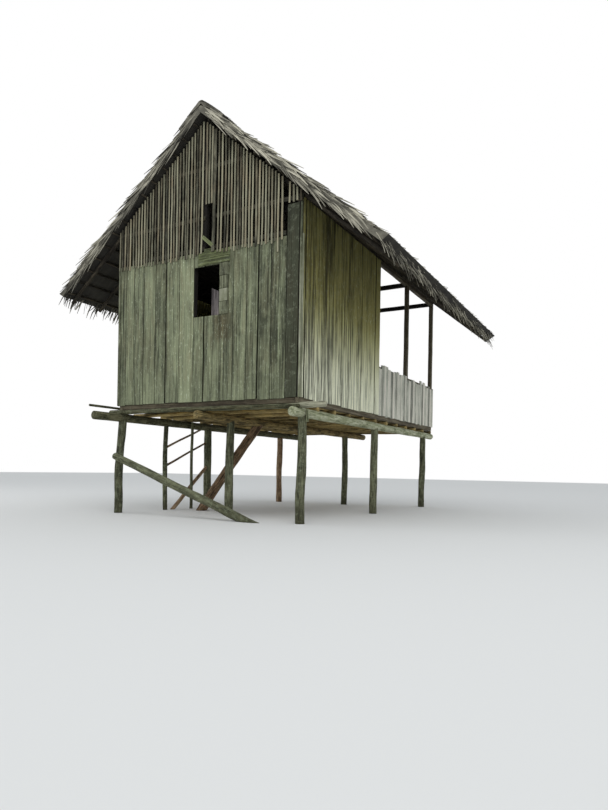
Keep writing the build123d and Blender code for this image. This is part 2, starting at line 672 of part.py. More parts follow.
def front_cuts():
    """Room in the front lattice for the slot and for the high corner boards."""
    z = slot_sill_top()
    slot = block(SLOT_LEFT, SLOT_LEFT + SLOT_WIDTH, FRONT_Y - STUD, FRONT_Y + STUD, z, z + SLOT_HEIGHT)
    corner = block(HALF_WIDTH - FRONT_CORNER_BOARD_WIDTH - CLEARANCE, HALF_WIDTH + BOARD,
                   FRONT_Y, FRONT_Y + STUD, SILL_TOP, SILL_TOP + FRONT_CORNER_BOARD_TOP + CLEARANCE)
    return slot + corner


def rear_cuts():
    """Room in the rear lattice for the plates and the ridge pole."""
    y0, y1 = ROOM_Y - STUD, ROOM_Y + STUD
    plate_x = FRAME_X - STUD - CLEARANCE
    z = ridge_axis_z(CLEARANCE)
    cuts = pole((0, y0, z), (0, y1, z), RIDGE_POLE_D + 2 * CLEARANCE)
    for x0, x1 in ((-HALF_WIDTH, -plate_x), (plate_x, HALF_WIDTH)):
        cuts = cuts + block(x0, x1, y0, y1, PLATE_TOP - STUD - CLEARANCE, roof_z(0, RAFTER_D))
    return cuts


def window_panel():
    """A board behind the wall, its head cut on a slant, that closes the lower right of the window."""
    right = WINDOW_LEFT + WINDOW_WIDTH - CLEARANCE
    left = right - PANEL_WIDTH
    foot = SILL_TOP + WINDOW_BOTTOM - PANEL_LAP
    head = foot + PANEL_LAP + PANEL_HEIGHT
    outline = [(left, foot), (right, foot), (right, head - PANEL_SLANT), (left, head)]
    return upright_face(outline, FRONT_STUD_Y, PANEL_THICKNESS)


def window_side_boards():
    """Short level boards nailed on beside the window."""
    x = WINDOW_LEFT + WINDOW_WIDTH
    pitch = (WINDOW_HEIGHT + SIDE_BOARD_GAP) / SIDE_BOARD_COUNT
    foot = SILL_TOP + WINDOW_BOTTOM
    return [block(x, x + SIDE_BOARD_LENGTH, FRONT_Y - TRIM, FRONT_Y, foot + i * pitch,
                  foot + (i + 1) * pitch - SIDE_BOARD_GAP) for i in range(SIDE_BOARD_COUNT)]


def slot_boards():
    """Two level boards and a ledge under the slot, and a slanted board across its foot."""
    x0 = SLOT_LEFT - SLOT_SILL_OVERHANG_LEFT
    foot = slot_sill_foot()
    pitch = SLOT_SILL_BOARD_HEIGHT + SLOT_SILL_GAP
    boards = [block(x0, slot_sill_right(), FRONT_Y - TRIM, FRONT_Y, foot + i * pitch,
                    foot + i * pitch + SLOT_SILL_BOARD_HEIGHT) for i in range(2)]
    slot_right = SLOT_LEFT + SLOT_WIDTH - CLEARANCE
    boards.append(block(SLOT_LEFT + CLEARANCE, slot_right, FRONT_Y - TRIM, FRONT_Y + BOARD,
                        slot_sill_top() + CLEARANCE, slot_sill_top() + SLOT_LEDGE))
    slant = Box(SLANT_BOARD_LENGTH, TRIM, SLANT_BOARD_HEIGHT)
    middle_x = SLOT_LEFT + SLOT_WIDTH / 2
    rise = SLANT_BOARD_LENGTH / 2 * math.sin(math.radians(SLANT_ANGLE))
    middle_z = slot_sill_top() + SLOT_LEDGE + SLANT_BOARD_HEIGHT / 2 + rise
    place = Pos(middle_x, FRONT_Y - SLAT_THICKNESS - TRIM / 2, middle_z) * Rot(0, SLANT_ANGLE, 0)
    return boards + [place * slant]


def corner_strips():
    """Narrow strips nailed over the board ends at the two front corners."""
    strips = []
    top = SILL_TOP + FRONT_BOARD_TOP
    for side in (-1, 1):
        front = sorted((side * (HALF_WIDTH - CORNER_STRIP_WIDTH), side * HALF_WIDTH))
        strips.append(block(front[0], front[1], FRONT_Y - TRIM, FRONT_Y, BOARD_FOOT, top - SLAT_LAP - STUD))
        flank = sorted((side * HALF_WIDTH, side * (HALF_WIDTH + TRIM)))
        strips.append(block(flank[0], flank[1], FRONT_Y, FRONT_Y + CORNER_STRIP_WIDTH, BOARD_FOOT, top))
    return strips


def ground_posts():
    """Name and shape of each post that stands on the ground."""
    rows = {
        "post_right": (GIRDER_X, RIGHT_POST_ROW),
        "post_left": (-GIRDER_X, LEFT_POST_ROW),
        "post_centre": (0, CENTRE_POST_ROW),
    }
    posts = {}
    for name, (x, places) in rows.items():
        marks = ("front", "middle", "back") if len(places) == 3 else ("front", "back")
        for mark, y in zip(marks, places):
            stout = name == "post_left" and mark == "middle"
            lean = LEFT_POST_LEAN if name == "post_left" and mark == "front" else 0
            posts[f"{name}_{mark}"] = ground_post(x, FRONT_Y + y, STOUT_POST_D if stout else POST_D, lean=lean)
    slender = ground_post(-GIRDER_X, FRONT_Y + SLENDER_POST_Y, SLENDER_POST_D)
    posts["post_slender"] = [slender, thin_prop()]
    return posts


def floor_frame():
    return {
        "girder_left": girder(-GIRDER_X),
        "girder_centre": girder(0),
        "girder_right": girder(GIRDER_X),
        "front_cross_log": front_cross_log(),
        "thin_front_pole": [thin_front_pole(), left_edge_pole()],
        "floor_joists": floor_joists(),
        "floor_deck": floor_deck(),
        "sills": side_sills() + cross_sills(),
        "diagonal_log": diagonal_log(),
        "leaning_log": leaning_log(),
        "thin_braces": [foot_brace(), *upper_braces(), girder_peg()],
    }


def wall_frame():
    return {
        "wall_posts": wall_posts(),
        "veranda_posts": veranda_posts(),
        "wall_plates": wall_plates(),
        "tie_beams": tie_beams(),
        "king_posts": king_posts(),
        "loft_floor": loft_floor(),
    }


def wall_skins():
    return {
        "front_wall": front_wall(),
        "back_wall": back_wall(),
        "right_wall": side_wall(1),
        "left_wall": side_wall(-1),
        "front_gable_slats": gable_slats(FRONT_Y - SLAT_THICKNESS, FRONT_Y, True),
        "back_gable_slats": gable_slats(ROOM_Y, ROOM_Y - BOARD, False),
        "side_parapets": [parapet_side(-1), parapet_side(1)],
        "rear_parapet": rear_parapet(),
        "parapet_rails": parapet_rails(),
        "window_boards": [window_panel()] + window_side_boards(),
        "slot_boards": slot_boards(),
        "corner_strips": corner_strips(),
    }


def roof():
    return {
        "ridge_pole": ridge_pole(),
        "rafters_left": rafters(-1),
        "rafters_right": rafters(1),
        "battens": battens(-1) + battens(1),
        "thatch_left": thatch(-1),
        "thatch_right": thatch(1),
        "ridge_cap": ridge_cap(),
    }


os.makedirs("parts", exist_ok=True)
for group in (ground_posts(), floor_frame(), wall_frame(), wall_skins(), roof()):
    for piece_name, piece in group.items():
        save(piece_name, piece)
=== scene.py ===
import math
import random
from functools import cached_property

import bmesh
import bpy
from bpy.props import FloatProperty, FloatVectorProperty, IntProperty, PointerProperty
from mathutils import Matrix, Vector, noise


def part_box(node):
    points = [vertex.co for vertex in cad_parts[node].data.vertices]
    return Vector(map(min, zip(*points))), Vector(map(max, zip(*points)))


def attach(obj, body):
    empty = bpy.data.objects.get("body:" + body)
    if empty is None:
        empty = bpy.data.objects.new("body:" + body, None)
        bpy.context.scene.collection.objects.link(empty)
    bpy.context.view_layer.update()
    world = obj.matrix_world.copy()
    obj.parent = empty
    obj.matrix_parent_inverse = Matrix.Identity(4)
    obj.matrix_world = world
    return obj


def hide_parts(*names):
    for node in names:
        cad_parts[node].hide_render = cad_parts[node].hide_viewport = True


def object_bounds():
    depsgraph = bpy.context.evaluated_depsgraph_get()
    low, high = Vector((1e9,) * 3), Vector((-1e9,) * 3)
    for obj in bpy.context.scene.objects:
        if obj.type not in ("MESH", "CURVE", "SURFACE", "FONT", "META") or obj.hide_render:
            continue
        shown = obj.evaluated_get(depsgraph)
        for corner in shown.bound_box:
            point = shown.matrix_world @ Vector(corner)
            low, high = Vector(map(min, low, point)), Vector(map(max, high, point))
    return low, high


bl_info = {
    "name": "Stilt House",
    "version": (1, 0, 0),
    "blender": (4, 5, 0),
    "location": "View3D > Sidebar > Stilt House",
    "description": "Dresses a thatched board house on posts with weathered wood and palm leaf",
    "category": "Object",
}

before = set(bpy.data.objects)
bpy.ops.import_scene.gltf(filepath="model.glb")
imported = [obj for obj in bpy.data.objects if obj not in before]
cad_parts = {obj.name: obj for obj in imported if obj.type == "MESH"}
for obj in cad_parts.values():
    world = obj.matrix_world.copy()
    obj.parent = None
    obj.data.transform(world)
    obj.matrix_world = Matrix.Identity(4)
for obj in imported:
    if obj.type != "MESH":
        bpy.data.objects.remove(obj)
cad_box = [list(corner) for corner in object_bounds()]

BODY = "root"

# Main levels and places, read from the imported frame
WALL_LOW, WALL_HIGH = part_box("front_wall")
BACK_LOW, BACK_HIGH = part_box("back_wall")
PLATE_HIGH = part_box("wall_plates")[1]
THATCH_LOW, THATCH_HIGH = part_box("thatch_right")

# Roof: a layer is a distance from the rafters' undersides, square to the slope
ROOF_PITCH = math.radians(39.5)
PITCH_COS, PITCH_SIN, PITCH_TAN = math.cos(ROOF_PITCH), math.sin(ROOF_PITCH), math.tan(ROOF_PITCH)
SLOPE_LENGTH = THATCH_HIGH.x / PITCH_COS
RAFTER_SEAT = 0.025
RAFTER_THICKNESS = 0.075
RAFTER_ENDS = (0.05, 0.06)
BATTEN_RADIUS = 0.019
THATCH_TOP = 0.2556
THATCH_STEP = 0.050
THATCH_COURSES = 17

# Gable boards, measured from the right corner
GABLE_TOP = 4.601
GABLE_JOINTS = (0.0, 0.055, 0.285, 0.57, 0.82, 1.05, 1.32, 1.60, 1.93, 2.16, 2.48, 2.79, 3.04, 3.32, 3.56, 3.75, 3.94)
GABLE_TONES = (0.3, -0.35, 0.30, 0.26, 0.44, 0.46, 0.40, 0.55, 0.50, 0.80, 0.56, 0.36, 0.62, 0.44, 0.60, 0.38)
GABLE_WIDE = (0.055, 0.82, 1.93, 2.79)
GABLE_WIDE_GAP = 2.6
WINDOW_SPAN = (-0.19, 0.37)
WINDOW_LEVELS = (3.491, 4.361)
WINDOW_MARGIN = 0.02
SLOT_SPAN = (0.030, 0.195)
SLOT_HEAD = 5.421
CORNER_X = 1.66
LEVEL_BOARDS = (-0.09, 0.575)

# Side boards, measured from the gable, and the boards of the parapets, the back wall and the loft
SIDE_JOINTS = (0.12, 0.45, 0.81, 1.15, 1.50, 1.76, 1.96, 2.17, 2.39, 2.60, 2.83, 3.05)
SIDE_TONES = (0.75, 0.42, 0.60, 0.30, 0.66, 0.52, 0.36, 0.78, 0.40, 0.84, 0.50, 0.66, 0.95)
SIDE_WIDE = (0.12, 3.05)
SIDE_WIDE_GAP = 3.9
PARAPET_TONES = (0.62, 0.20, 0.95, 0.45, 0.80, 0.05, 1.05, 0.40, 0.75, 0.55)
DOOR_HALF = 0.425
DOOR_HEAD = 3.931
LOFT_BOARDS = 18
LOFT_HALF_GAP = 0.003
WALL_RAGGED, BACK_RAGGED, PARAPET_RAGGED = 0.004, 0.006, 0.06
CUT_STRAY, TONE_STRAY, BOARD_BOW = 0.18, 0.1, 0.003

# Slats of the gables: their rails, the level of their feet and the feet that stand out over the boards
SLAT_THICKNESS = 0.015
SLAT_WIDTHS = (0.030, 0.037)
MEAN_SLAT = 0.0335
RAIL_LEVELS = (4.631, 5.161, 6.021)
RAIL_DEPTH, RAIL_HEIGHT = 0.025, 0.07
# The rails are darker than any slat: painted shade behind the slats.
RAIL_TONE = -0.6
SLATS_OVER_SLOT = (0.036, 0.098, 0.158)
SLOT_SLAT_WIDTH = 0.036
SLAT_BESIDE_SLOT, SLOT_GAP = 0.068, 0.002
SHORTEST_SLAT, LAST_SLAT = 0.03, 0.02
CORNER_SPAN = (CORNER_X - 0.03, CORNER_X + 0.02)
FOOT_STRAY = 0.02
PITCH_STRAY = (0.75, 1.25)
LONG_SLATS = (1.48, 1.55)
SLAT_FOOT = 4.54
LONG_FOOT = 4.36
CORNER_FOOT = 5.118
LEFT_OF_SLOT_FOOT, RIGHT_OF_SLOT_FOOT, RIGHT_OF_SLOT_FALL = 4.57, 4.58, 0.07
FOOT_SPLAY = 0.022
UNDER_ROOF = 0.004

# Trim boards: the node, the finish and the tone of each of its boards
TRIM = (("window_boards", "trim", (0.5, 0.34, 0.74, 0.30, 0.26)), ("slot_boards", "mossy", (0.34, 0.42, 0.62, 0.2)),
        ("corner_strips", "trim", (0.4, 0.62)))
PANEL_DEPTH = 0.01
SLANT_SIZE = 0.2
SLANT = math.radians(-40)

# Endings of the names of round pieces, then the nodes of the floor and the frame with their finish and slot
ROUND = ("log", "round")
# The dark olive finish of the left girder and the thin front pole is painted shade under the floor.
GIRDERS = (("girder_left", "olive", "pole_wood"), ("girder_centre", "floor", "pole_wood"),
           ("girder_right", "pale", "pale_wood"))
CROSS_POLES = (("front_cross_log", "cross", "pale_wood"), ("thin_front_pole", "olive", "pole_wood"),
               ("floor_joists", "floor", "red_wood"))
# The wall posts, tie beams and king posts are nearly black: painted shade inside the house.
HEWN = (("sills", "frame"), ("wall_posts", "smoked"), ("veranda_posts", "frame"), ("wall_plates", "frame"),
        ("tie_beams", "smoked"), ("king_posts", "smoked"), ("parapet_rails", "frame"))

# Piece, node, finish and slot of the logs under the floor, with the foot, head and radius of each
LEANING_LOGS = (
    ("diagonal_round", "diagonal_log", "posts", "post_wood",
     (((1.100, -3.3428, 0.0), (-1.93, -3.3428, 1.075), 0.075),)),
    ("leaning_round", "leaning_log", "brown", "red_wood", (((-1.23, -1.62, 0.0), (0.0, -1.37, 1.79), 0.100),)),
    ("thin_braces_round", "thin_braces", "brown", "pole_wood",
     (((-1.89, -1.76, 0.0), (-1.89, -0.60, 0.93), 0.0425), ((-1.89, -1.95, 1.297), (-1.89, -0.85, 1.727), 0.0225),
      ((-1.89, -1.95, 0.922), (-1.89, -0.67, 1.4416), 0.0225))),
    ("peg_round", "thin_braces", "pale", "pole_wood",
     (((1.9933, -3.037, 1.645), (1.9933, -3.037, 1.852), 0.024),)),
)

# Shape of round and squared wood
BURIED_RADII = 3.6
TRIMMED_RADII = 0.12
FLARE_HEIGHT = 0.25
LUMP_SCALE, FINE_LUMPS, BEND_SCALE = (6, 6, 2.2), 3.1, 1.7
WORN_SHARE = 0.35
UNEVEN_SCALE = 2.4
NOISE_SHIFTS = (0, 17.3, 31.7)
END_SHARE = 0.93
USUAL_TONES = (0.3, 0.7)
SEED_REACH, GRAIN_REACH = 50, 40
BOARD = {"edge": 0.003, "uneven": 0.003, "step": 0.2}
SLAT = {"edge": 0.0045, "step": 0.15}

# Leaflets: how far each kind strays in its own plane, out of it and round its rib, and how it falls
LEAF_SECTION, LEAF_NARROWING = 1.7, 0.75
LEAF_RIB = 0.004
COURSE_STRAY, EAVE_STRAY, VERGE_STRAY = (0.11, 0.015, 0.3), (0.2, 0.08, 0.4), (0.10, 0.05, 0.3)
COURSE_ENDS = (-0.03, 0.075)
LAST_COURSE_BACK = 0.085
COURSE_CREST = 0.06
COURSE_LIFT, COURSE_LOOSE = 0.008, 0.012
EAVE_SHARE = 1.5
EAVE_LOW_LAYER, EAVE_FALL = 0.12, -0.12
EAVE_BUTTS = (0.30, 0.42)
VERGE_LEAVES = 300
VERGE_RUN = (0.02, SLOPE_LENGTH - 0.7)
VERGE_LAYERS = (0.13, THATCH_TOP - 0.01)
VERGE_DEPTH, VERGE_FALL, VERGE_DRIFT = 0.02, -0.02, 0.04
HANGING_SHARE, RIDGE_WIDENING = 0.8, 1.2
RIDGE_ROUND = 0.06
RIDGE_PEAK = 0.0218
RIDGE_LAYERS = 4
RIDGE_SHIFT, RIDGE_TURN, RIDGE_DEPTH = 0.05, 0.10, 0.014
SADDLE_DROP = -0.03
BOX_MARGIN = 0.002

# Noise along the grain: scale across and along it, detail, roughness and distortion
GRAIN_NOISE = {
    "streaks": (26.0, 0.9, 4.0, 0.6, 0.4), "lines": (62.0, 0.7, 3.0, 0.6, 0.2), "fibres": (150.0, 4.0, 3.0, 0.7),
    "blots": (6.0, 2.2, 4.0, 0.65, 0.6), "drip": (17.0, 0.5, 3.0, 0.6), "patches": (7.0, 1.3, 4.0, 0.6, 0.8),
    "chips": (55.0, 13.0, 3.0, 0.6), "cracks": (80.0, 0.8, 2.0, 0.5, 0.3), "furrows": (60.0, 4.5, 4.0, 0.65, 0.8),
    "bark": (14.0, 3.0, 4.0, 0.6, 0.5), "rings": (4.0, 22.0, 3.0, 0.6), "ribs": (190.0, 4.0, 2.0, 0.6),
}
KNOT_SCALE = (5.0, 5.0, 1.7)

# How a field turns into a share: where it starts and ends, and the share at both
SHARES = {
    "dark": (-0.17, 0.0), "pale": (0.0, 0.20), "specks": (0.40, 0.60), "drip": (0.3, 0.7),
    "brown": (0.44, 0.64, 0.0, 0.75), "stain": (0.35, 0.6, 0.25, 0.85), "knots": (0.045, 0.085, 0.6, 0.0),
    "chips": (0.61, 0.68), "cracks": (0.35, 0.40, 1.0, 0.0), "edges": (0.75, 0.95, 0.0, 0.9),
    "roughness": (0.3, 0.7, 0.75, 0.95), "peeled": (-0.22, 0.22, 0.55, 1.35), "wet foot": (0.0, 0.45, 0.8, 0.0),
    "furrows": (0.34, 0.44, 1.0, 0.0), "under": (-0.5, 0.1, 0.9, 0.0),
}
FOOT_DRIP, HEAD_DRIP = -0.5, 0.9
STAIN_EDGE = 0.12

# Lichen: colour, scale of its patches, where they start and end, and scale of its specks
PLANK_LICHEN = ((0.40, 0.44, 0.31), 8.0, 0.53, 0.64, 50.0)
POLE_LICHEN = ((0.36, 0.41, 0.27), 13.0, 0.50, 0.60, 60.0)

# Stage
FLOOR_SIZE, FLOOR_COLOUR, FLOOR_ROUGHNESS, FLOOR_SHINE = 60.0, (0.78, 0.78, 0.77, 1), 0.95, 0.1
SKY_COLOUR, SKY_STRENGTH = (0.93, 0.97, 1.0, 1), 0.72
LAMPS = (("Sky light", (9.0, -13.0, 15.0), 11.0, 900.0), ("Side light", (-14.0, -8.0, 9.0), 9.0, 330.0))
LAMP_AIM = Vector((0, 0, 3.0))
SENSOR = 36.0
PICTURE_HEIGHT, FOCAL_LENGTH, PICTURE_SHIFT = 810.0, 610.0, 65.0
CAMERA_PLACE, CAMERA_AIM, CAMERA_ROLL = (6.68, -11.62, 0.87), (-0.4827, 0.8758, 0.0), math.radians(1.0)
CLIP_END = 300.0


def roof_line(x, layer):
    """Height at x of the plane that lies a layer above the rafters' undersides, square to the slope."""
    return PLATE_HIGH.z - RAFTER_SEAT + (PLATE_HIGH.x - abs(x)) * PITCH_TAN + layer / PITCH_COS


def slope_point(side, along, layer, y):
    """A point along the slope from the ridge line and square to it, on the right or the left roof."""
    x = along * PITCH_COS + layer * PITCH_SIN
    z = roof_line(0, 0) - along * PITCH_SIN + layer * PITCH_COS
    return Vector((side * x, y, z))


def middle_line(low, high):
    """Both ends of the line through the middle of a box, from front to back."""
    middle = (low + high) / 2
    return (middle.x, low.y, middle.z), (middle.x, high.y, middle.z)


def longest(size):
    return max(range(3), key=lambda axis: size[axis])


def wood_mesh():
    """An empty mesh that keeps where the grain of each piece runs and how pale the piece is."""
    mesh = bmesh.new()
    mesh.verts.layers.float_vector.new("grain")
    mesh.verts.layers.float.new("tone")
    return mesh


def random_vector(rng, reach):
    return Vector([rng.uniform(0, reach) for axis in range(3)])


def noise_vector(spot):
    """Three noises of one place, the same in every run."""
    return Vector([noise.noise(spot + Vector((0, 0, shift))) for shift in NOISE_SHIFTS])


def wear_edges(part, edges, offset):
    bmesh.ops.bevel(part, geom=edges, offset=offset, offset_type="OFFSET", affect="EDGES", segments=1, profile=0.5,
                    material=-1)


def mark_wood(verts, part, along, tone, rng):
    """Store each vertex's place in the piece, the run of the grain last, and the piece's tone."""
    grain = part.verts.layers.float_vector["grain"]
    tones = part.verts.layers.float["tone"]
    shift = random_vector(rng, GRAIN_REACH)
    first, second = (axis for axis in range(3) if axis != along)
    for vert in verts:
        vert[grain] = shift + Vector((vert.co[first], vert.co[second], vert.co[along]))
        vert[tones] = tone


def join_part(whole, part):
    """Move a finished piece into the mesh of its group."""
    mesh = bpy.data.meshes.new("part")
    part.to_mesh(mesh)
    part.free()
    whole.from_mesh(mesh)
    bpy.data.meshes.remove(mesh)


def stand_on_ground(part):
    """Cut a piece off flat at the ground and close the cut."""
    everything = part.verts[:] + part.edges[:] + part.faces[:]
    bmesh.ops.bisect_plane(part, geom=everything, plane_co=(0, 0, 0), plane_no=(0, 0, -1), clear_outer=True)
    bmesh.ops.holes_fill(part, edges=[edge for edge in part.edges if edge.is_boundary], sides=0)
    bmesh.ops.recalc_face_normals(part, faces=part.faces[:])


def add_log(whole, start, end, radius, rng, taper=0.92, sides=14, ring=0.09, crook=0.012, lumps=0.07, flare=0.0,
            grounded=False):
    """A natural pole between two points, a little crooked and lumpy, its ends trimmed."""
    start, end = Vector(start), Vector(end)
    if grounded:
        start -= (end - start).normalized() * radius * BURIED_RADII
    run = end - start
    length = run.length
    part = wood_mesh()
    bmesh.ops.create_cone(part, cap_ends=True, segments=sides, radius1=radius, radius2=radius * taper, depth=length)
    rims = [edge for edge in part.edges if edge.verts[0].co.z * edge.verts[1].co.z > 0]
    wear_edges(part, rims, radius * TRIMMED_RADII)
    uprights = [edge for edge in part.edges if edge.calc_length() > length / 2]
    bmesh.ops.subdivide_edges(part, edges=uprights, cuts=max(2, round(length / ring)) - 1)
    mark_wood(part.verts, part, 2, rng.uniform(*USUAL_TONES), rng)
    seed = random_vector(rng, SEED_REACH)
    for vert in part.verts:
        share = vert.co.z / length + 0.5
        spot = Vector(value * scale for value, scale in zip(vert.co, LUMP_SCALE)) + seed
        swell = 1 + lumps * (noise.noise(spot) + noise.noise(spot * FINE_LUMPS) / 2)
        swell += flare * max(0.0, 1 - share * length / FLARE_HEIGHT) ** 2
        held = math.sin(math.pi * min(max(share, 0), 1))
        bend = Vector((*(noise.noise(seed + Vector((aside, 0, share * BEND_SCALE))) for aside in (0, 9)), 0))
        vert.co = Vector((vert.co.x * swell, vert.co.y * swell, vert.co.z)) + bend * crook * 2 * held
    turn = run.to_track_quat("Z", "Y").to_matrix().to_4x4()
    bmesh.ops.transform(part, matrix=Matrix.Translation((start + end) / 2) @ turn, verts=part.verts[:])
    if grounded:
        stand_on_ground(part)
    join_part(whole, part)


def add_squared(whole, low, high, rng, edge=0.004, uneven=0.003, step=0.3, bow=0.0, low_end=0.0, high_end=0.0,
                splay=0.0, lean=0.0, tone=None):
    """A sawn or hewn piece between two corners, with worn edges, a slight bow and uneven ends."""
    low, high = Vector(low), Vector(high)
    size = high - low
    along = longest(size)
    thin = longest(-size)
    wide = 3 - along - thin
    part = wood_mesh()
    bmesh.ops.create_cube(part, size=1.0)
    bmesh.ops.scale(part, vec=size, verts=part.verts[:])
    wear_edges(part, part.edges[:], min(edge, size[thin] * WORN_SHARE))
    runs = [item for item in part.edges
            if abs((item.verts[0].co - item.verts[1].co)[along]) > size[along] / 2]
    cuts = int(size[along] / step)
    if cuts:
        bmesh.ops.subdivide_edges(part, edges=runs, cuts=cuts)
    mark_wood(part.verts, part, along, rng.uniform(*USUAL_TONES) if tone is None else tone, rng)
    seed = random_vector(rng, SEED_REACH)
    ends = (rng.uniform(-1, 1) * low_end, rng.uniform(-1, 1) * high_end)
    for vert in part.verts:
        share = vert.co[along] * 2 / size[along]
        vert.co += noise_vector(seed + vert.co * UNEVEN_SCALE) * uneven
        vert.co[thin] += bow * (1 - share * share) - splay * ((1 - share) / 2) ** 4
        vert.co[wide] += lean * (1 - share) / 2
        if abs(share) > END_SHARE:
            vert.co[along] += ends[share > 0]
    bmesh.ops.translate(part, vec=(low + high) / 2, verts=part.verts[:])
    join_part(whole, part)


def loose_groups(mesh):
    """The vertices of each separate solid in a mesh, with its lowest and highest corners."""
    seen = set()
    for vert in mesh.verts:
        if vert in seen:
            continue
        group = [vert]
        seen.add(vert)
        for member in group:
            for edge in member.link_edges:
                other = edge.other_vert(member)
                if other not in seen:
                    seen.add(other)
                    group.append(other)
        corners = [Vector(pick(item.co[axis] for item in group) for axis in range(3)) for pick in (min, max)]
        yield group, *corners


def node_mesh(node):
    """A copy of a node's mesh with its loose triangles joined."""
    copy = wood_mesh()
    copy.from_mesh(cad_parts[node].data)
    bmesh.ops.remove_doubles(copy, verts=copy.verts[:], dist=0.00002)
    return copy


def box_parts(node):
    """Lowest and highest corners of each separate solid of a node of the frame."""
    copy = node_mesh(node)
    parts = [(low, high) for _, low, high in loose_groups(copy)]
    copy.free()
    return sorted(parts, key=lambda corners: tuple(round(value, 4) for value in corners[0]))


def link_object(name, data):
    item = bpy.data.objects.new(name, data)
    bpy.context.scene.collection.objects.link(item)
    return item


def finish_piece(name, mesh_data, finish, slot, *nodes, smooth=False):
    """Turn a group's mesh into an object of its own that rides on the house."""
    mesh = bpy.data.meshes.new(name)
    if smooth:
        for face in mesh_data.faces:
            face.smooth = True
    mesh_data.to_mesh(mesh)
    mesh_data.free()
    mesh.materials.append(finishes()[finish])
    piece = link_object(name, mesh)
    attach(piece, BODY)
    if nodes:
        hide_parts(*nodes)
    return piece


def dress(node, suffix, finish, slot, make):
    """Make each solid of a node anew, in one piece that takes the node's place."""
    mesh = wood_mesh()
    for low, high in box_parts(node):
        make(mesh, low, high)
    return finish_piece(f"{node}_{suffix}", mesh, finish, slot, node, smooth=suffix in ROUND)


def shade(colour, tone):
    """A colour made darker or paler by a factor, unless the tone is a colour of its own."""
    return tuple(min(channel * tone, 0.9) for channel in colour[:3]) if isinstance(tone, float) else tone


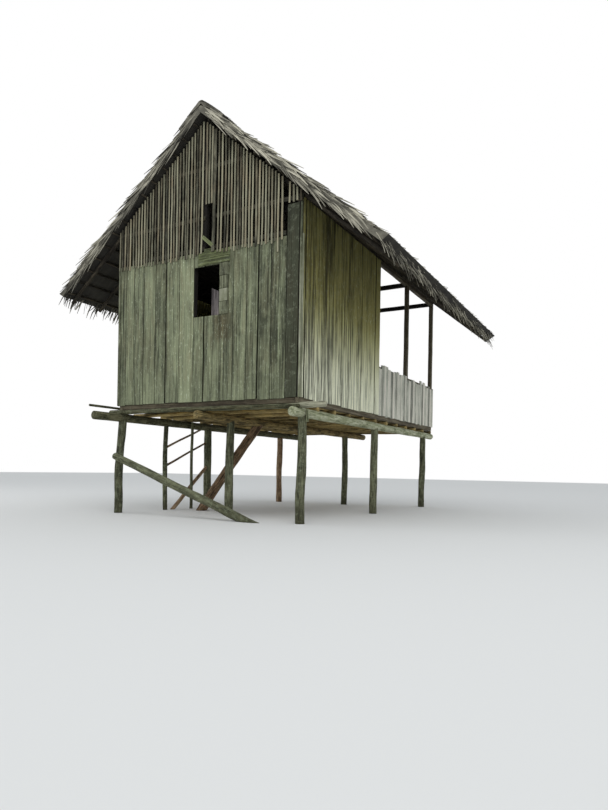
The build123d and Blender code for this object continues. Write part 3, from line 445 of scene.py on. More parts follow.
class Finish:
    """A material whose colour, roughness and relief are put together from nodes."""

    def __init__(self, name, roughness, shine=0.25):
        self.material = bpy.data.materials.new(name)
        self.material.use_nodes = True
        self.tree = self.material.node_tree
        self.sockets = self.tree.nodes["Principled BSDF"].inputs
        self.put(self.sockets["Roughness"], roughness)
        self.put(self.sockets["Specular IOR Level"], shine)

    @cached_property
    def place(self):
        return self.add("TexCoord").outputs["Object"]

    @cached_property
    def axes(self):
        return self.split(self.place)

    @cached_property
    def grain(self):
        return self.add("Attribute", attribute_name="grain").outputs["Vector"]

    @cached_property
    def tone(self):
        return self.add("Attribute", attribute_name="tone").outputs["Fac"]

    def add(self, kind, inputs=(), **settings):
        node = self.tree.nodes.new(f"ShaderNode{kind}")
        for name, value in settings.items():
            setattr(node, name, value)
        for name, value in dict(inputs).items():
            self.put(node.inputs[name], value)
        return node

    def put(self, socket, value):
        """Link a socket to another, or write a plain value in it."""
        if isinstance(value, bpy.types.NodeSocket):
            self.tree.links.new(value, socket)
        else:
            socket.default_value = value

    def split(self, vector):
        return self.add("SeparateXYZ", {"Vector": vector}).outputs

    def facing(self, normal, axis):
        """How far the surface faces along an axis."""
        return self.split(self.add("NewGeometry").outputs[normal])[axis]

    def scaled(self, source, scale):
        return self.add("Mapping", {"Vector": source, "Scale": scale}).outputs["Vector"]

    def clouds(self, source, scale, detail=3.0, rough=0.55, distortion=0.0):
        """Soft noise, with one scale for all axes or a scale of its own along each."""
        if not isinstance(scale, float):
            source, scale = self.scaled(source, scale), 1.0
        return self.add("TexNoise", {"Vector": source, "Scale": scale, "Detail": detail, "Roughness": rough,
                                               "Distortion": distortion}).outputs["Fac"]

    def grained(self, name):
        """One of the noises that follow the grain."""
        across, along, *look = GRAIN_NOISE[name]
        return self.clouds(self.grain, (across, across, along), *look)

    def span(self, value, low, high, to_low=0.0, to_high=1.0):
        """Spread a range of values over another, without going past its ends."""
        return self.add("MapRange", {"Value": value, "From Min": low, "From Max": high, "To Min": to_low,
                                               "To Max": to_high}, clamp=True).outputs["Result"]

    def share(self, value, name):
        """One of the shares that a field turns into."""
        return self.span(value, *SHARES[name])

    def maths(self, operation, first, second=0.0):
        node = self.add("Math", operation=operation)
        self.put(node.inputs[0], first)
        self.put(node.inputs[1], second)
        return node.outputs[0]

    def times(self, first, second):
        return self.maths("MULTIPLY", first, second)

    def plus(self, first, second):
        return self.maths("ADD", first, second)

    def blended(self, *shares):
        """Add up fields that lie about a half, each with its weight, into one that lies about nought."""
        total = -0.5 * sum(weight for _, weight in shares)
        for field, weight in shares:
            total = self.plus(self.times(field, weight), total)
        return total

    def mix(self, share, first, second):
        """Mix two colours."""
        node = self.add("Mix", data_type="RGBA")
        for index, value in ((0, share), (6, first), (7, second)):
            plain = not isinstance(value, bpy.types.NodeSocket)
            self.put(node.inputs[index], (*value, 1.0) if index and plain else value)
        return node.outputs[2]

    def tint(self, colour, share):
        """One colour made darker or paler by a field."""
        plain = self.add("CombineXYZ", dict(zip("XYZ", colour))).outputs["Vector"]
        return self.add("VectorMath", {"Vector": plain, "Scale": share}, operation="SCALE").outputs["Vector"]

    def three_tones(self, field, dark, mid, pale):
        """Dark, middle and pale wood along a field that lies about nought."""
        return self.mix(self.share(field, "pale"), self.mix(self.share(field, "dark"), dark, mid), pale)

    def lichened(self, colour, lichen, growth):
        """A colour with broken patches of lichen on it."""
        pale, scale, low, high, speck_scale = lichen
        patches = self.clouds(self.place, scale, detail=6.0, rough=0.7)
        specks = self.clouds(self.place, speck_scale, rough=0.7)
        grown = self.times(self.span(patches, low, high), self.share(specks, "specks"))
        return self.mix(self.times(grown, growth), colour, pale)

    def box_mask(self, spans):
        """One inside a box given by its lowest and highest place on some axes, nought outside it."""
        mask = 1.0
        for axis, (low, high) in spans.items():
            rise = self.span(self.axes[axis], low - STAIN_EDGE, low)
            fall = self.span(self.axes[axis], high, high + STAIN_EDGE, 1.0, 0.0)
            mask = self.times(self.times(rise, fall), mask)
        return mask

    def done(self, colour, relief, depth):
        self.put(self.sockets["Base Color"], colour)
        bump = self.add("Bump", {"Height": relief, "Strength": 0.8, "Distance": depth})
        self.put(self.sockets["Normal"], bump.outputs["Normal"])
        return self.material


def plank_finish(name, dark, mid, pale, growth, foot=None, head=None, streaky=0.6, stain=None, brown=None,
                 flecks=0.0, spread=0.26, bleached=None, edges=None):
    """Old sawn boards: streaked grain, knots, cracks and lichen, a paler foot and a darker head that are partly
    painted light and shade, and painted shade in the joints.
    """
    finish = Finish(name, roughness=0.85)
    streaks, lines, fibres, blots = map(finish.grained, ("streaks", "lines", "fibres", "blots"))
    field = finish.blended((streaks, streaky), (lines, streaky * 0.7), (finish.tone, 0.45), (blots, 0.55),
                           (fibres, 0.3))
    if bleached is not None:
        first, last, lift = bleached
        field = finish.plus(field, finish.span(finish.axes["Y"], first, last, 0.0, lift))
    colour = finish.three_tones(field, dark, mid, pale)
    grain_shade = finish.span(field, -spread, spread, to_low=0.30, to_high=1.6)
    if brown is not None:
        patches = finish.share(finish.grained("patches"), "brown")
        colour = finish.mix(patches, colour, finish.tint(brown, grain_shade))
    # The darker heads are partly painted shade under the roof and eaves, the paler feet partly painted light.
    for band, drip, at_first, at_last in ((foot, FOOT_DRIP, 0.9, 0.0), (head, HEAD_DRIP, 0.0, 0.9)):
        if band is not None:
            tone, first, last = band
            runs = finish.times(finish.share(finish.grained("drip"), "drip"), drip)
            reach = finish.span(finish.plus(finish.axes["Z"], runs), first, last, at_first, at_last)
            colour = finish.mix(reach, colour, finish.tint(shade(mid, tone), grain_shade))
    if stain is not None:
        spans, tint = stain
        mask = finish.times(finish.box_mask(spans), finish.share(blots, "stain"))
        colour = finish.mix(mask, colour, finish.tint(tint, grain_shade))
    colour = finish.lichened(colour, PLANK_LICHEN, growth)
    knots = finish.add("TexVoronoi", {"Vector": finish.scaled(finish.grain, KNOT_SCALE)})
    colour = finish.mix(finish.share(knots.outputs["Distance"], "knots"), colour, shade(dark, 0.45))
    if flecks:
        chips = finish.span(finish.grained("chips"), *SHARES["chips"], 0.0, flecks)
        colour = finish.mix(chips, colour, finish.tint(PLANK_LICHEN[0], grain_shade))
    cracks = finish.share(finish.grained("cracks"), "cracks")
    colour = finish.mix(finish.times(cracks, 0.7), colour, shade(dark, 0.25))
    # Board edges that face along the given axis are darkened: painted shade in the joints.
    if edges is not None:
        turned = finish.maths("ABSOLUTE", finish.facing("True Normal", edges))
        colour = finish.mix(finish.share(turned, "edges"), colour, shade(dark, 0.4))
    finish.put(finish.sockets["Roughness"], finish.share(fibres, "roughness"))
    return finish.done(colour, finish.maths("SUBTRACT", finish.plus(streaks, fibres), cracks), depth=0.0025)


def pole_finish(name, dark, mid, pale, growth, foot=None, bleached=None):
    """Round poles with weathered bark: long furrows, pale lichen and, on some, a dark foot or a bleached end."""
    finish = Finish(name, roughness=0.88)
    furrows, bark, rings = map(finish.grained, ("furrows", "bark", "rings"))
    field = finish.blended((furrows, 0.75), (finish.tone, 0.45), (bark, 0.75), (rings, 0.2))
    colour = finish.three_tones(field, dark, mid, pale)
    if bleached is not None:
        first, last, tint = bleached
        peeled = finish.tint(tint, finish.share(field, "peeled"))
        colour = finish.mix(finish.span(finish.axes["X"], first, last, 0.0, 0.9), colour, peeled)
    if foot is not None:
        colour = finish.mix(finish.share(finish.axes["Z"], "wet foot"), colour, foot)
    colour = finish.lichened(colour, POLE_LICHEN, growth)
    gaps = finish.share(furrows, "furrows")
    colour = finish.mix(finish.times(gaps, 0.65), colour, shade(dark, 0.3))
    return finish.done(colour, finish.maths("SUBTRACT", finish.plus(furrows, bark), gaps), depth=0.004)


def leaf_finish(name, dark, mid, pale, under, packed=False):
    """Dry palm leaf: ribbed lengthwise, bleached on top, and dark underneath as painted shade under the roof."""
    finish = Finish(name, roughness=0.8)
    if packed:
        tone = finish.clouds(finish.place, 7.0, detail=2.0)
        ribs = finish.clouds(finish.place, (9.0, 120.0, 9.0), rough=0.7, distortion=0.3)
    else:
        tone, ribs = finish.tone, finish.grained("ribs")
    spread = finish.clouds(finish.place, 1.1, rough=0.6)
    runs = finish.clouds(finish.place, (1.4, 9.0, 1.4), rough=0.6, distortion=0.4)
    field = finish.blended((ribs, 0.4), (tone, 0.36), (spread, 0.6), (runs, 0.7))
    colour = finish.three_tones(field, dark, mid, pale)
    # Faces that look down take the dark underside colour: painted shade under the roof.
    colour = finish.mix(finish.share(finish.facing("Normal", "Z"), "under"), colour, under)
    return finish.done(colour, ribs, depth=0.003)


def length_property(name, default, low, high, about):
    return FloatProperty(name=name, description=about, default=default, min=low, max=high, subtype="DISTANCE",
                         unit="LENGTH")


def colour_property(name, default, about):
    return FloatVectorProperty(name=name, description=f"Middle tone of {about}", default=default, subtype="COLOR",
                               min=0.0, max=1.0)


class StiltHouseSizes(bpy.types.PropertyGroup):
    board_gap: length_property("Board gap", 0.010, 0.0, 0.03, "Open joint between wall boards")
    back_board: length_property("Back board", 0.22, 0.1, 0.4, "Width of a board on the back wall")
    parapet_board: length_property("Parapet board", 0.13, 0.08, 0.4, "Width of a board on the parapets")
    slat_pitch: length_property("Slat pitch", 0.0635, 0.045, 0.1, "Mean distance between the gable's split poles")
    leaf_length: length_property("Leaf length", 0.5, 0.2, 0.9, "Length of a palm leaflet on the roof")
    leaf_width: length_property("Leaf width", 0.034, 0.01, 0.08, "Width of a palm leaflet on the roof")
    leaf_rows: IntProperty(name="Leaflets", description="Leaflets side by side in one course of thatch",
                           default=230, min=40, max=400)


class StiltHouseColours(bpy.types.PropertyGroup):
    gable: colour_property("Gable boards", (0.183, 0.201, 0.123), "the front boards")
    flank: colour_property("Side boards", (0.290, 0.290, 0.130), "the long walls")
    parapet: colour_property("Parapet boards", (0.590, 0.600, 0.500), "the parapets")
    slats: colour_property("Gable slats", (0.218, 0.210, 0.145), "the split poles")
    posts: colour_property("Ground posts", (0.114, 0.118, 0.070), "the ground posts")
    floor: colour_property("Floor poles", (0.260, 0.195, 0.080), "the poles of the floor")
    thatch: colour_property("Thatch", (0.335, 0.315, 0.250), "the palm leaf")


# Each finish: how it is made, its name, a colour of the panel, its tones as factors of that colour or as colours
# of their own, and the rest of its look
FINISH_TABLE = {
    # Gable boards: the darker head is partly painted shade under the roof, the dark edges painted shade in the
    # joints.
    "gable": (plank_finish, "Weathered gable boards", "gable", (0.30, 1.0, 1.6), {
        "growth": 0.35, "foot": (1.1, 2.0, 2.4), "head": (0.5, 4.9, 5.6), "streaky": 0.75, "flecks": 0.9,
        "stain": ({"X": (0.26, 0.54), "Y": (-3.4, -3.2), "Z": (3.10, 3.44)}, (0.088, 0.074, 0.040)),
        "brown": (0.178, 0.176, 0.105), "edges": "X"}),
    # Side boards: the pale foot is partly painted light, the dark gold head partly painted shade under the eaves, the
    # dark edges painted shade in the joints.
    "flank": (plank_finish, "Pale side boards", "flank", (0.25, 1.0, 1.9), {
        "growth": 0.2, "foot": ((0.56, 0.565, 0.44), 2.1, 3.5), "head": ((0.160, 0.142, 0.044), 3.2, 4.3),
        "streaky": 2.0, "flecks": 0.5, "spread": 0.24, "bleached": (-2.2, -0.6, 0.20), "edges": "Y"}),
    "parapet": (plank_finish, "Bleached parapet boards", "parapet", (0.35, 1.0, (0.80, 0.76, 0.66)), {
        "growth": 0.2, "streaky": 1.0, "flecks": 0.4}),
    # The slats' dark edges are painted shade in the gaps between them.
    "slats": (plank_finish, "Split palm slats", "slats", (0.14, 1.0, 1.6), {
        "growth": 0.15, "brown": (0.215, 0.175, 0.112), "edges": "X"}),
    "mossy": (plank_finish, "Mossy boards", None,
              ((0.040, 0.046, 0.020), (0.160, 0.182, 0.082), (0.260, 0.290, 0.150)), {"growth": 0.4}),
    "trim": (plank_finish, "Trim boards", None,
             ((0.050, 0.052, 0.032), (0.190, 0.200, 0.125), (0.40, 0.40, 0.31)), {"growth": 0.25, "flecks": 0.4}),
    "panel": (plank_finish, "Window panel", None,
              ((0.020, 0.017, 0.017), (0.085, 0.074, 0.074), (0.24, 0.21, 0.20)), {"growth": 0.0, "streaky": 1.2}),
    "frame": (plank_finish, "Frame wood", None,
              ((0.045, 0.034, 0.022), (0.12, 0.10, 0.065), (0.22, 0.19, 0.13)), {"growth": 0.15}),
    # Nearly black inner wood: painted shade inside the house.
    "smoked": (plank_finish, "Smoked inner wood", None,
               ((0.008, 0.007, 0.006), (0.020, 0.017, 0.014), (0.045, 0.037, 0.029)), {"growth": 0.0}),
    "posts": (pole_finish, "Grey ground posts", "posts", (0.38, 1.0, 1.9), {
        "growth": 0.4, "foot": (0.052, 0.051, 0.028)}),
    # Dark olive poles: painted shade under the floor.
    "olive": (pole_finish, "Olive girder", None,
              ((0.016, 0.015, 0.007), (0.062, 0.062, 0.030), (0.150, 0.140, 0.080)), {"growth": 0.25}),
    # Nearly black roof poles: painted shade under the thatch.
    "rafter": (pole_finish, "Smoked roof poles", None,
               ((0.010, 0.008, 0.006), (0.032, 0.026, 0.018), (0.080, 0.065, 0.045)), {"growth": 0.05}),
    "brown": (pole_finish, "Brown logs", None,
              ((0.060, 0.036, 0.020), (0.245, 0.158, 0.092), (0.42, 0.30, 0.19)), {"growth": 0.15}),
    "floor": (pole_finish, "Red brown floor poles", "floor", (0.28, 1.0, 1.9), {"growth": 0.1}),
    "cross": (pole_finish, "Cross log", None,
              ((0.034, 0.035, 0.018), (0.112, 0.114, 0.066), (0.20, 0.20, 0.12)), {
                  "growth": 0.3, "bleached": (1.75, 2.1, (0.42, 0.41, 0.30))}),
    "pale": (pole_finish, "Pale peeled pole", None,
             ((0.10, 0.11, 0.06), (0.30, 0.32, 0.19), (0.56, 0.57, 0.42)), {"growth": 0.2}),
    # The fourth tone of both leaf finishes is the dark underside, painted shade under the roof.
    "leaf": (leaf_finish, "Dry palm leaf", "thatch", (0.35, 1.0, 1.75, (0.030, 0.027, 0.024)), {}),
    "thatch": (leaf_finish, "Packed palm thatch", "thatch", (0.22, 0.5, 1.0, (0.022, 0.020, 0.018)), {
        "packed": True}),
}
FINISHES = {}


def finishes():
    """All the finishes of the house, made once from the colours in the panel."""
    if not FINISHES:
        colours = bpy.context.scene.stilt_house_colours
        for key, (make, name, base, tones, look) in FINISH_TABLE.items():
            colour = getattr(colours, base) if base else None
            FINISHES[key] = make(name, *(shade(colour, tone) for tone in tones), **look)
    return FINISHES


def wall_runs(joints, tones, gap, wide, wide_gap):
    """Each board's edges and tone, with half of each joint's gap taken off."""
    for index, (first, last) in enumerate(zip(joints, joints[1:])):
        first_gap, last_gap = (gap * (wide_gap if joint in wide else 1) / 2 for joint in (first, last))
        yield first + first_gap, last - last_gap, tones[index % len(tones)]


class STILTHOUSE_OT_posts(bpy.types.Operator):
    """Ground posts of weathered round wood"""

    bl_idname = "stilt_house.posts"
    bl_label = "Ground posts"
    seed = 11

    def execute(self, context):
        rng = random.Random(self.seed)

        def post(mesh, low, high):
            radius = (high.y - low.y) / 2
            y = (low.y + high.y) / 2
            add_log(mesh, (low.x + radius, y, 0), (high.x - radius, y, high.z), radius, rng, taper=0.94, sides=20,
                    ring=0.07, crook=0.02, lumps=0.12, flare=0.08, grounded=True)

        for name in sorted(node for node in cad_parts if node.startswith("post_")):
            finish, slot = ("brown", "red_wood") if name == "post_left_back" else ("posts", "post_wood")
            dress(name, "log", finish, slot, post)
        return {"FINISHED"}


class STILTHOUSE_OT_floor_frame(bpy.types.Operator):
    """Girders, cross poles, split floor and the logs that lean under it"""

    bl_idname = "stilt_house.floor_frame"
    bl_label = "Floor frame"
    seed = 23

    def execute(self, context):
        rng = random.Random(self.seed)
        for name, finish, slot in GIRDERS:
            dress(name, "log", finish, slot, lambda mesh, low, high: add_log(
                mesh, *middle_line(low, high), (high.z - low.z) / 2, rng, taper=0.94, sides=18, ring=0.1, crook=0.01))
        for name, finish, slot in CROSS_POLES:
            dress(name, "round", finish, slot, lambda mesh, low, high: self.lying_pole(mesh, low, high, rng))
        deck = wood_mesh()
        for low, high in box_parts("floor_deck"):
            add_squared(deck, low, high, rng, edge=0.008, uneven=0.004, step=0.35, tone=rng.uniform(-0.3, 1.3))
        finish_piece("floor_slats", deck, "floor", "floor_wood", "floor_deck")
        for name, node, finish, slot, logs in LEANING_LOGS:
            mesh = wood_mesh()
            for start, end, radius in logs:
                add_log(mesh, start, end, radius, rng, taper=0.88, sides=16, crook=radius * 0.2, lumps=0.12,
                        grounded=start[2] == 0)
            finish_piece(name, mesh, finish, slot, node, smooth=True)
        return {"FINISHED"}

    def lying_pole(self, mesh, low, high, rng):
        """A pole across the house, or one along it that falls a little towards the back."""
        size, middle = high - low, (low + high) / 2
        radius = min(size.x, size.y) / 2
        if size.y > size.x:
            start, end = (middle.x, low.y, high.z - radius), (middle.x, high.y, low.z + radius)
        else:
            start, end = ((x, middle.y, high.z - radius) for x in (high.x, low.x))
        add_log(mesh, start, end, radius, rng, taper=0.9, sides=12, ring=0.12, lumps=0.08)


class STILTHOUSE_OT_wall_frame(bpy.types.Operator):
    """Sills, uprights, plates and beams, hewn square"""

    bl_idname = "stilt_house.wall_frame"
    bl_label = "Wall frame"
    seed = 37

    def execute(self, context):
        rng = random.Random(self.seed)
        for name, finish in HEWN:
            dress(name, "hewn", finish, "frame_wood", lambda mesh, low, high: add_squared(
                mesh, low, high, rng, edge=0.007, uneven=0.005, step=0.25))
        loft = wood_mesh()
        low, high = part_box("loft_floor")
        width = (high.x - low.x) / LOFT_BOARDS
        for index in range(LOFT_BOARDS):
            left, right = low.x + index * width + LOFT_HALF_GAP, low.x + (index + 1) * width - LOFT_HALF_GAP
            add_squared(loft, (left, low.y, low.z), (right, high.y, high.z), rng, uneven=0.002)
        # The loft boards are nearly black: painted shade inside the roof.
        finish_piece("loft_boards", loft, "smoked", "floor_wood", "loft_floor")
        return {"FINISHED"}


class STILTHOUSE_OT_gable_boards(bpy.types.Operator):
    """Upright boards of the front wall, with the window left open"""

    bl_idname = "stilt_house.gable_boards"
    bl_label = "Gable boards"
    seed = 41

    def execute(self, context):
        rng = random.Random(self.seed)
        gap = context.scene.stilt_house_sizes.board_gap
        mesh = wood_mesh()
        for first, last, tone in wall_runs(GABLE_JOINTS, GABLE_TONES, gap, GABLE_WIDE, GABLE_WIDE_GAP):
            right, left = WALL_HIGH.x - first, WALL_HIGH.x - last
            top = WALL_HIGH.z if left > CORNER_X else GABLE_TOP
            spans = [(WALL_LOW.z, top)]
            if left < WINDOW_SPAN[1] - WINDOW_MARGIN and right > WINDOW_SPAN[0] + WINDOW_MARGIN:
                spans = [(WALL_LOW.z, WINDOW_LEVELS[0]), (WINDOW_LEVELS[1], top)]
            for foot, head in spans:
                add_squared(mesh, (left, WALL_LOW.y, foot), (right, WALL_HIGH.y, head), rng, **BOARD,
                            bow=rng.uniform(-0.004, 0.004), low_end=0.012 if foot == WALL_LOW.z else 0.004,
                            high_end=0.02 if head == GABLE_TOP else 0.004, tone=tone)
        finish_piece("gable_boards", mesh, "gable", "gable_boards", "front_wall")
        return {"FINISHED"}


class STILTHOUSE_OT_side_boards(bpy.types.Operator):
    """Upright boards of the long walls, the back wall and the parapets"""

    bl_idname = "stilt_house.side_boards"
    bl_label = "Side boards"
    seed = 53

    def execute(self, context):
        rng = random.Random(self.seed)
        sizes = context.scene.stilt_house_sizes
        gap = sizes.board_gap
        for name in ("right_wall", "left_wall"):
            low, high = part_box(name)
            mesh = wood_mesh()
            joints = [low.y - WALL_LOW.y, *SIDE_JOINTS, high.y - WALL_LOW.y]
            for first, last, tone in wall_runs(joints, SIDE_TONES, gap, SIDE_WIDE, SIDE_WIDE_GAP):
                self.board(mesh, (low.x, WALL_LOW.y + first, low.z), (high.x, WALL_LOW.y + last, high.z), rng,
                           WALL_RAGGED, tone)
            finish_piece(f"{name}_boards", mesh, "flank", "side_boards", name)
        for name, axis in (("side_parapets", 1), ("rear_parapet", 0)):
            dress(name, "boards", "parapet", "side_boards", lambda mesh, low, high: self.fill(
                mesh, low, high, axis, sizes.parapet_board, gap / 2, rng, PARAPET_RAGGED))
        mesh = wood_mesh()
        for left, right, foot in ((BACK_LOW.x, -DOOR_HALF, BACK_LOW.z), (DOOR_HALF, BACK_HIGH.x, BACK_LOW.z),
                                  (-DOOR_HALF, DOOR_HALF, DOOR_HEAD)):
            self.fill(mesh, Vector((left, BACK_LOW.y, foot)), Vector((right, BACK_HIGH.y, BACK_HIGH.z)), 0,
                      sizes.back_board, gap, rng, BACK_RAGGED)
        finish_piece("back_boards", mesh, "gable", "gable_boards", "back_wall")
        return {"FINISHED"}

    def fill(self, mesh, low, high, axis, width, gap, rng, ragged):
        """Boards side by side between two corners, along one axis."""
        run = high[axis] - low[axis]
        count = max(1, round(run / width))
        cuts = [0.0] + [(i + rng.uniform(-CUT_STRAY, CUT_STRAY)) / count for i in range(1, count)] + [1.0]
        for i in range(count):
            first, last = low.copy(), high.copy()
            first[axis] = low[axis] + run * cuts[i] + gap / 2
            last[axis] = low[axis] + run * cuts[i + 1] - gap / 2
            tone = PARAPET_TONES[i % len(PARAPET_TONES)] + rng.uniform(-TONE_STRAY, TONE_STRAY)
            self.board(mesh, first, last, rng, ragged, tone)

    def board(self, mesh, low, high, rng, ragged, tone):
        add_squared(mesh, low, high, rng, **BOARD, bow=rng.uniform(-BOARD_BOW, BOARD_BOW), low_end=0.012,
                    high_end=ragged, tone=tone)


class STILTHOUSE_OT_gable_slats(bpy.types.Operator):
    """Split poles of both gables, uneven in width and cut along the roof"""

    bl_idname = "stilt_house.gable_slats"
    bl_label = "Gable slats"
    seed = 67

    def execute(self, context):
        rng = random.Random(self.seed)
        pitch = context.scene.stilt_house_sizes.slat_pitch
        for name, finish, front in (("front_gable_slats", "slats", True), ("back_gable_slats", "frame", False)):
            low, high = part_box(name)
            mesh = wood_mesh()
            face_y = low.y if front else high.y - SLAT_THICKNESS
            self.slats(mesh, high.x, face_y, pitch, front, rng)
            if front:
                for left in SLATS_OVER_SLOT:
                    right = left + SLOT_SLAT_WIDTH
                    top = roof_line(right, RAFTER_THICKNESS) - UNDER_ROOF
                    add_squared(mesh, (left, face_y, SLOT_HEAD), (right, face_y + SLAT_THICKNESS, top), rng, **SLAT,
                                uneven=0.004, tone=rng.uniform(0.3, 0.9))
            self.rails(mesh, high.x, low.y + SLAT_THICKNESS if front else low.y, front, rng)
            finish_piece(f"{name}_split", mesh, finish, "split_slats", name)
        return {"FINISHED"}

    def slats(self, mesh, half, face_y, pitch, front, rng):
        """Slats of uneven width and spacing from one eave to the other."""
        left = -half
        while left < half - LAST_SLAT:
            width = rng.uniform(*SLAT_WIDTHS)
            if front and SLOT_SPAN[0] < left + width and left < SLOT_SPAN[1]:
                left, width = SLOT_SPAN[1] + SLOT_GAP, SLAT_BESIDE_SLOT
            right = min(left + width, half)
            x = (left + right) / 2
            top = roof_line(abs(x) + width / 2, RAFTER_THICKNESS) - UNDER_ROOF
            foot, splay = self.foot(x, rng) if front else (SLAT_FOOT - rng.uniform(0.0, 0.03), 0.0)
            if top - foot > SHORTEST_SLAT and not (front and right > CORNER_SPAN[0] and left < CORNER_SPAN[1]):
                add_squared(mesh, (left, face_y, foot), (right, face_y + SLAT_THICKNESS, top), rng, **SLAT,
                            uneven=0.006, bow=rng.uniform(-0.003, 0.003), splay=splay, lean=rng.gauss(0, 0.005),
                            tone=rng.uniform(0.1, 1.1))
            left = right + (pitch - MEAN_SLAT) * rng.uniform(*PITCH_STRAY)

    def foot(self, x, rng):
        """Where a front slat ends, and how far its foot stands out over the boards below."""
        ragged = rng.uniform(-FOOT_STRAY, FOOT_STRAY)
        if x > CORNER_X:
            return CORNER_FOOT + abs(ragged), 0.0
        if SLOT_SPAN[1] < x < LEVEL_BOARDS[1]:
            fall = RIGHT_OF_SLOT_FALL * (x - SLOT_SPAN[1]) / (LEVEL_BOARDS[1] - SLOT_SPAN[1])
            return RIGHT_OF_SLOT_FOOT - fall + ragged / 2, FOOT_SPLAY
        if LEVEL_BOARDS[0] < x <= SLOT_SPAN[0]:
            return LEFT_OF_SLOT_FOOT + ragged / 2, FOOT_SPLAY
        return (LONG_FOOT if LONG_SLATS[0] < x < LONG_SLATS[1] else SLAT_FOOT) + ragged, 0.0

    def rails(self, mesh, half, y, front, rng):
        """Level rails behind the slats, up to the roof or the corner and open at the slot."""
        for level in RAIL_LEVELS:
            reach = min(PLATE_HIGH.x - (level - roof_line(PLATE_HIGH.x, 0)) / PITCH_TAN, half)
            spans = [(-reach, reach)]
            if front and level < SLOT_HEAD:
                reach = min(reach, CORNER_X) if level < WALL_HIGH.z else reach
                spans = [(-reach, SLOT_SPAN[0]), (SLOT_SPAN[1], reach)]
            for start, end in spans:
                add_squared(mesh, (start, y, level), (end, y + RAIL_DEPTH, level + RAIL_HEIGHT), rng, tone=RAIL_TONE)


class STILTHOUSE_OT_trim(bpy.types.Operator):
    """Boards about the window and the slot, and the corner strips"""

    bl_idname = "stilt_house.trim"
    bl_label = "Trim boards"
    seed = 71

    def execute(self, context):
        rng = random.Random(self.seed)
        for name, finish, tones in TRIM:
            mesh = wood_mesh()
            self.copy_worn(mesh, name, tones, rng)
            piece = finish_piece(f"{name}_worn", mesh, finish, "gable_boards", name)
            if name == "window_boards":
                piece.data.materials.append(finishes()["panel"])
        return {"FINISHED"}

    def copy_worn(self, whole, node, tones, rng):
        """The node's own boards with their edges worn, the window's panel and the slanted board marked apart."""
        copy = node_mesh(node)
        bmesh.ops.dissolve_limit(copy, angle_limit=math.radians(2), verts=copy.verts[:], edges=copy.edges[:])
        wear_edges(copy, copy.edges[:], BOARD["edge"])
        groups = sorted(loose_groups(copy), key=lambda item: tuple(round(value, 2) for value in item[1]))
        for (group, low, high), tone in zip(groups, tones):
            size = high - low
            mark_wood(group, copy, longest(size), tone, rng)
            if node == "window_boards" and low.y > WALL_LOW.y + PANEL_DEPTH:
                for face in {face for vert in group for face in vert.link_faces}:
                    face.material_index = 1
            elif min(size.x, size.z) > SLANT_SIZE:
                grain = copy.verts.layers.float_vector["grain"]
                for vert in group:
                    place = Matrix.Rotation(SLANT, 3, "Y") @ vert.co
                    vert[grain] = Vector((place.y, place.z, place.x))
        join_part(whole, copy)


def leaf_templates(rng, count, length, width, droop, cuts=2, both_ends=False):
    """Folded palm leaflets, each a closed strip with a raised midrib and a curl of its own."""
    templates = []
    for index in range(count):
        part = wood_mesh()
        bmesh.ops.create_cone(part, cap_ends=True, segments=3, radius1=1.0, radius2=1.0, depth=1.0,
                              matrix=Matrix.Rotation(math.radians(90), 4, "Z"))
        runs = [edge for edge in part.edges if abs(edge.verts[0].co.z - edge.verts[1].co.z) > 0.5]
        bmesh.ops.subdivide_edges(part, edges=runs, cuts=cuts)
        own_length = length * rng.uniform(0.85, 1.15)
        own_width = width * rng.uniform(0.7, 1.2)
        curl = rng.uniform(-0.05, 0.05)
        sag = droop * rng.uniform(0.4, 1.4)
        twist = rng.uniform(-0.5, 0.5)
        grain = part.verts.layers.float_vector["grain"]
        tones = part.verts.layers.float["tone"]
        for vert in part.verts:
            share = vert.co.z + 0.5
            narrow = 1.0 - LEAF_NARROWING * abs(2 * share - 1 if both_ends else share) ** 3
            side, lift = vert.co.x * own_width / LEAF_SECTION * narrow, vert.co.y * LEAF_RIB
            vert[grain] = Vector((side + index, lift, share * own_length))
            vert[tones] = index / max(1, count - 1)
            x, z = Matrix.Rotation(twist * share, 2) @ Vector((side, lift))
            vert.co = Vector((x + curl * share * share, share * own_length, z - sag * share * share))
        bmesh.ops.recalc_face_normals(part, faces=part.faces[:])
        mesh = bpy.data.meshes.new("leaf")
        part.to_mesh(mesh)
        part.free()
        templates.append(mesh)
    return templates


def wobble(rng, spread):
    """A small random turn that never goes past twice its usual size."""
    return min(max(rng.gauss(0, spread), -2 * spread), 2 * spread)


def lay_leaf(whole, template, side, start, layer, y, fall, stray, rng, outward=0, stretch=1.0):
    """Lay one leaflet from a point of the slope down it, or on the verge that faces outward."""
    butt = slope_point(side, start, layer, y)
    down = (slope_point(side, start + 1, layer + fall, y + outward * VERGE_DRIFT) - butt).normalized()
    normal = Vector((0, outward, 0)) if outward else slope_point(side, start, layer + 1, y) - butt
    across = down.cross(normal.normalized()).normalized()
    place = Matrix((across, down, across.cross(down))).transposed().to_4x4()
    place = Matrix.Translation(butt) @ place
    for spread, axis in zip(stray, "ZXY"):
        place = place @ Matrix.Rotation(wobble(rng, spread), 4, axis)
    copy = template.copy()
    copy.transform(place @ Matrix.Diagonal((1.0, stretch, 1.0, 1.0)))
    whole.from_mesh(copy)
    bpy.data.meshes.remove(copy)


def keep_in_box(mesh):
    """Hold the leaf tips inside the frame's own box."""
    for vert in mesh.verts:
        for axis, (low, high) in enumerate(zip(*cad_box)):
            vert.co[axis] = min(max(vert.co[axis], low + BOX_MARGIN), high - BOX_MARGIN)


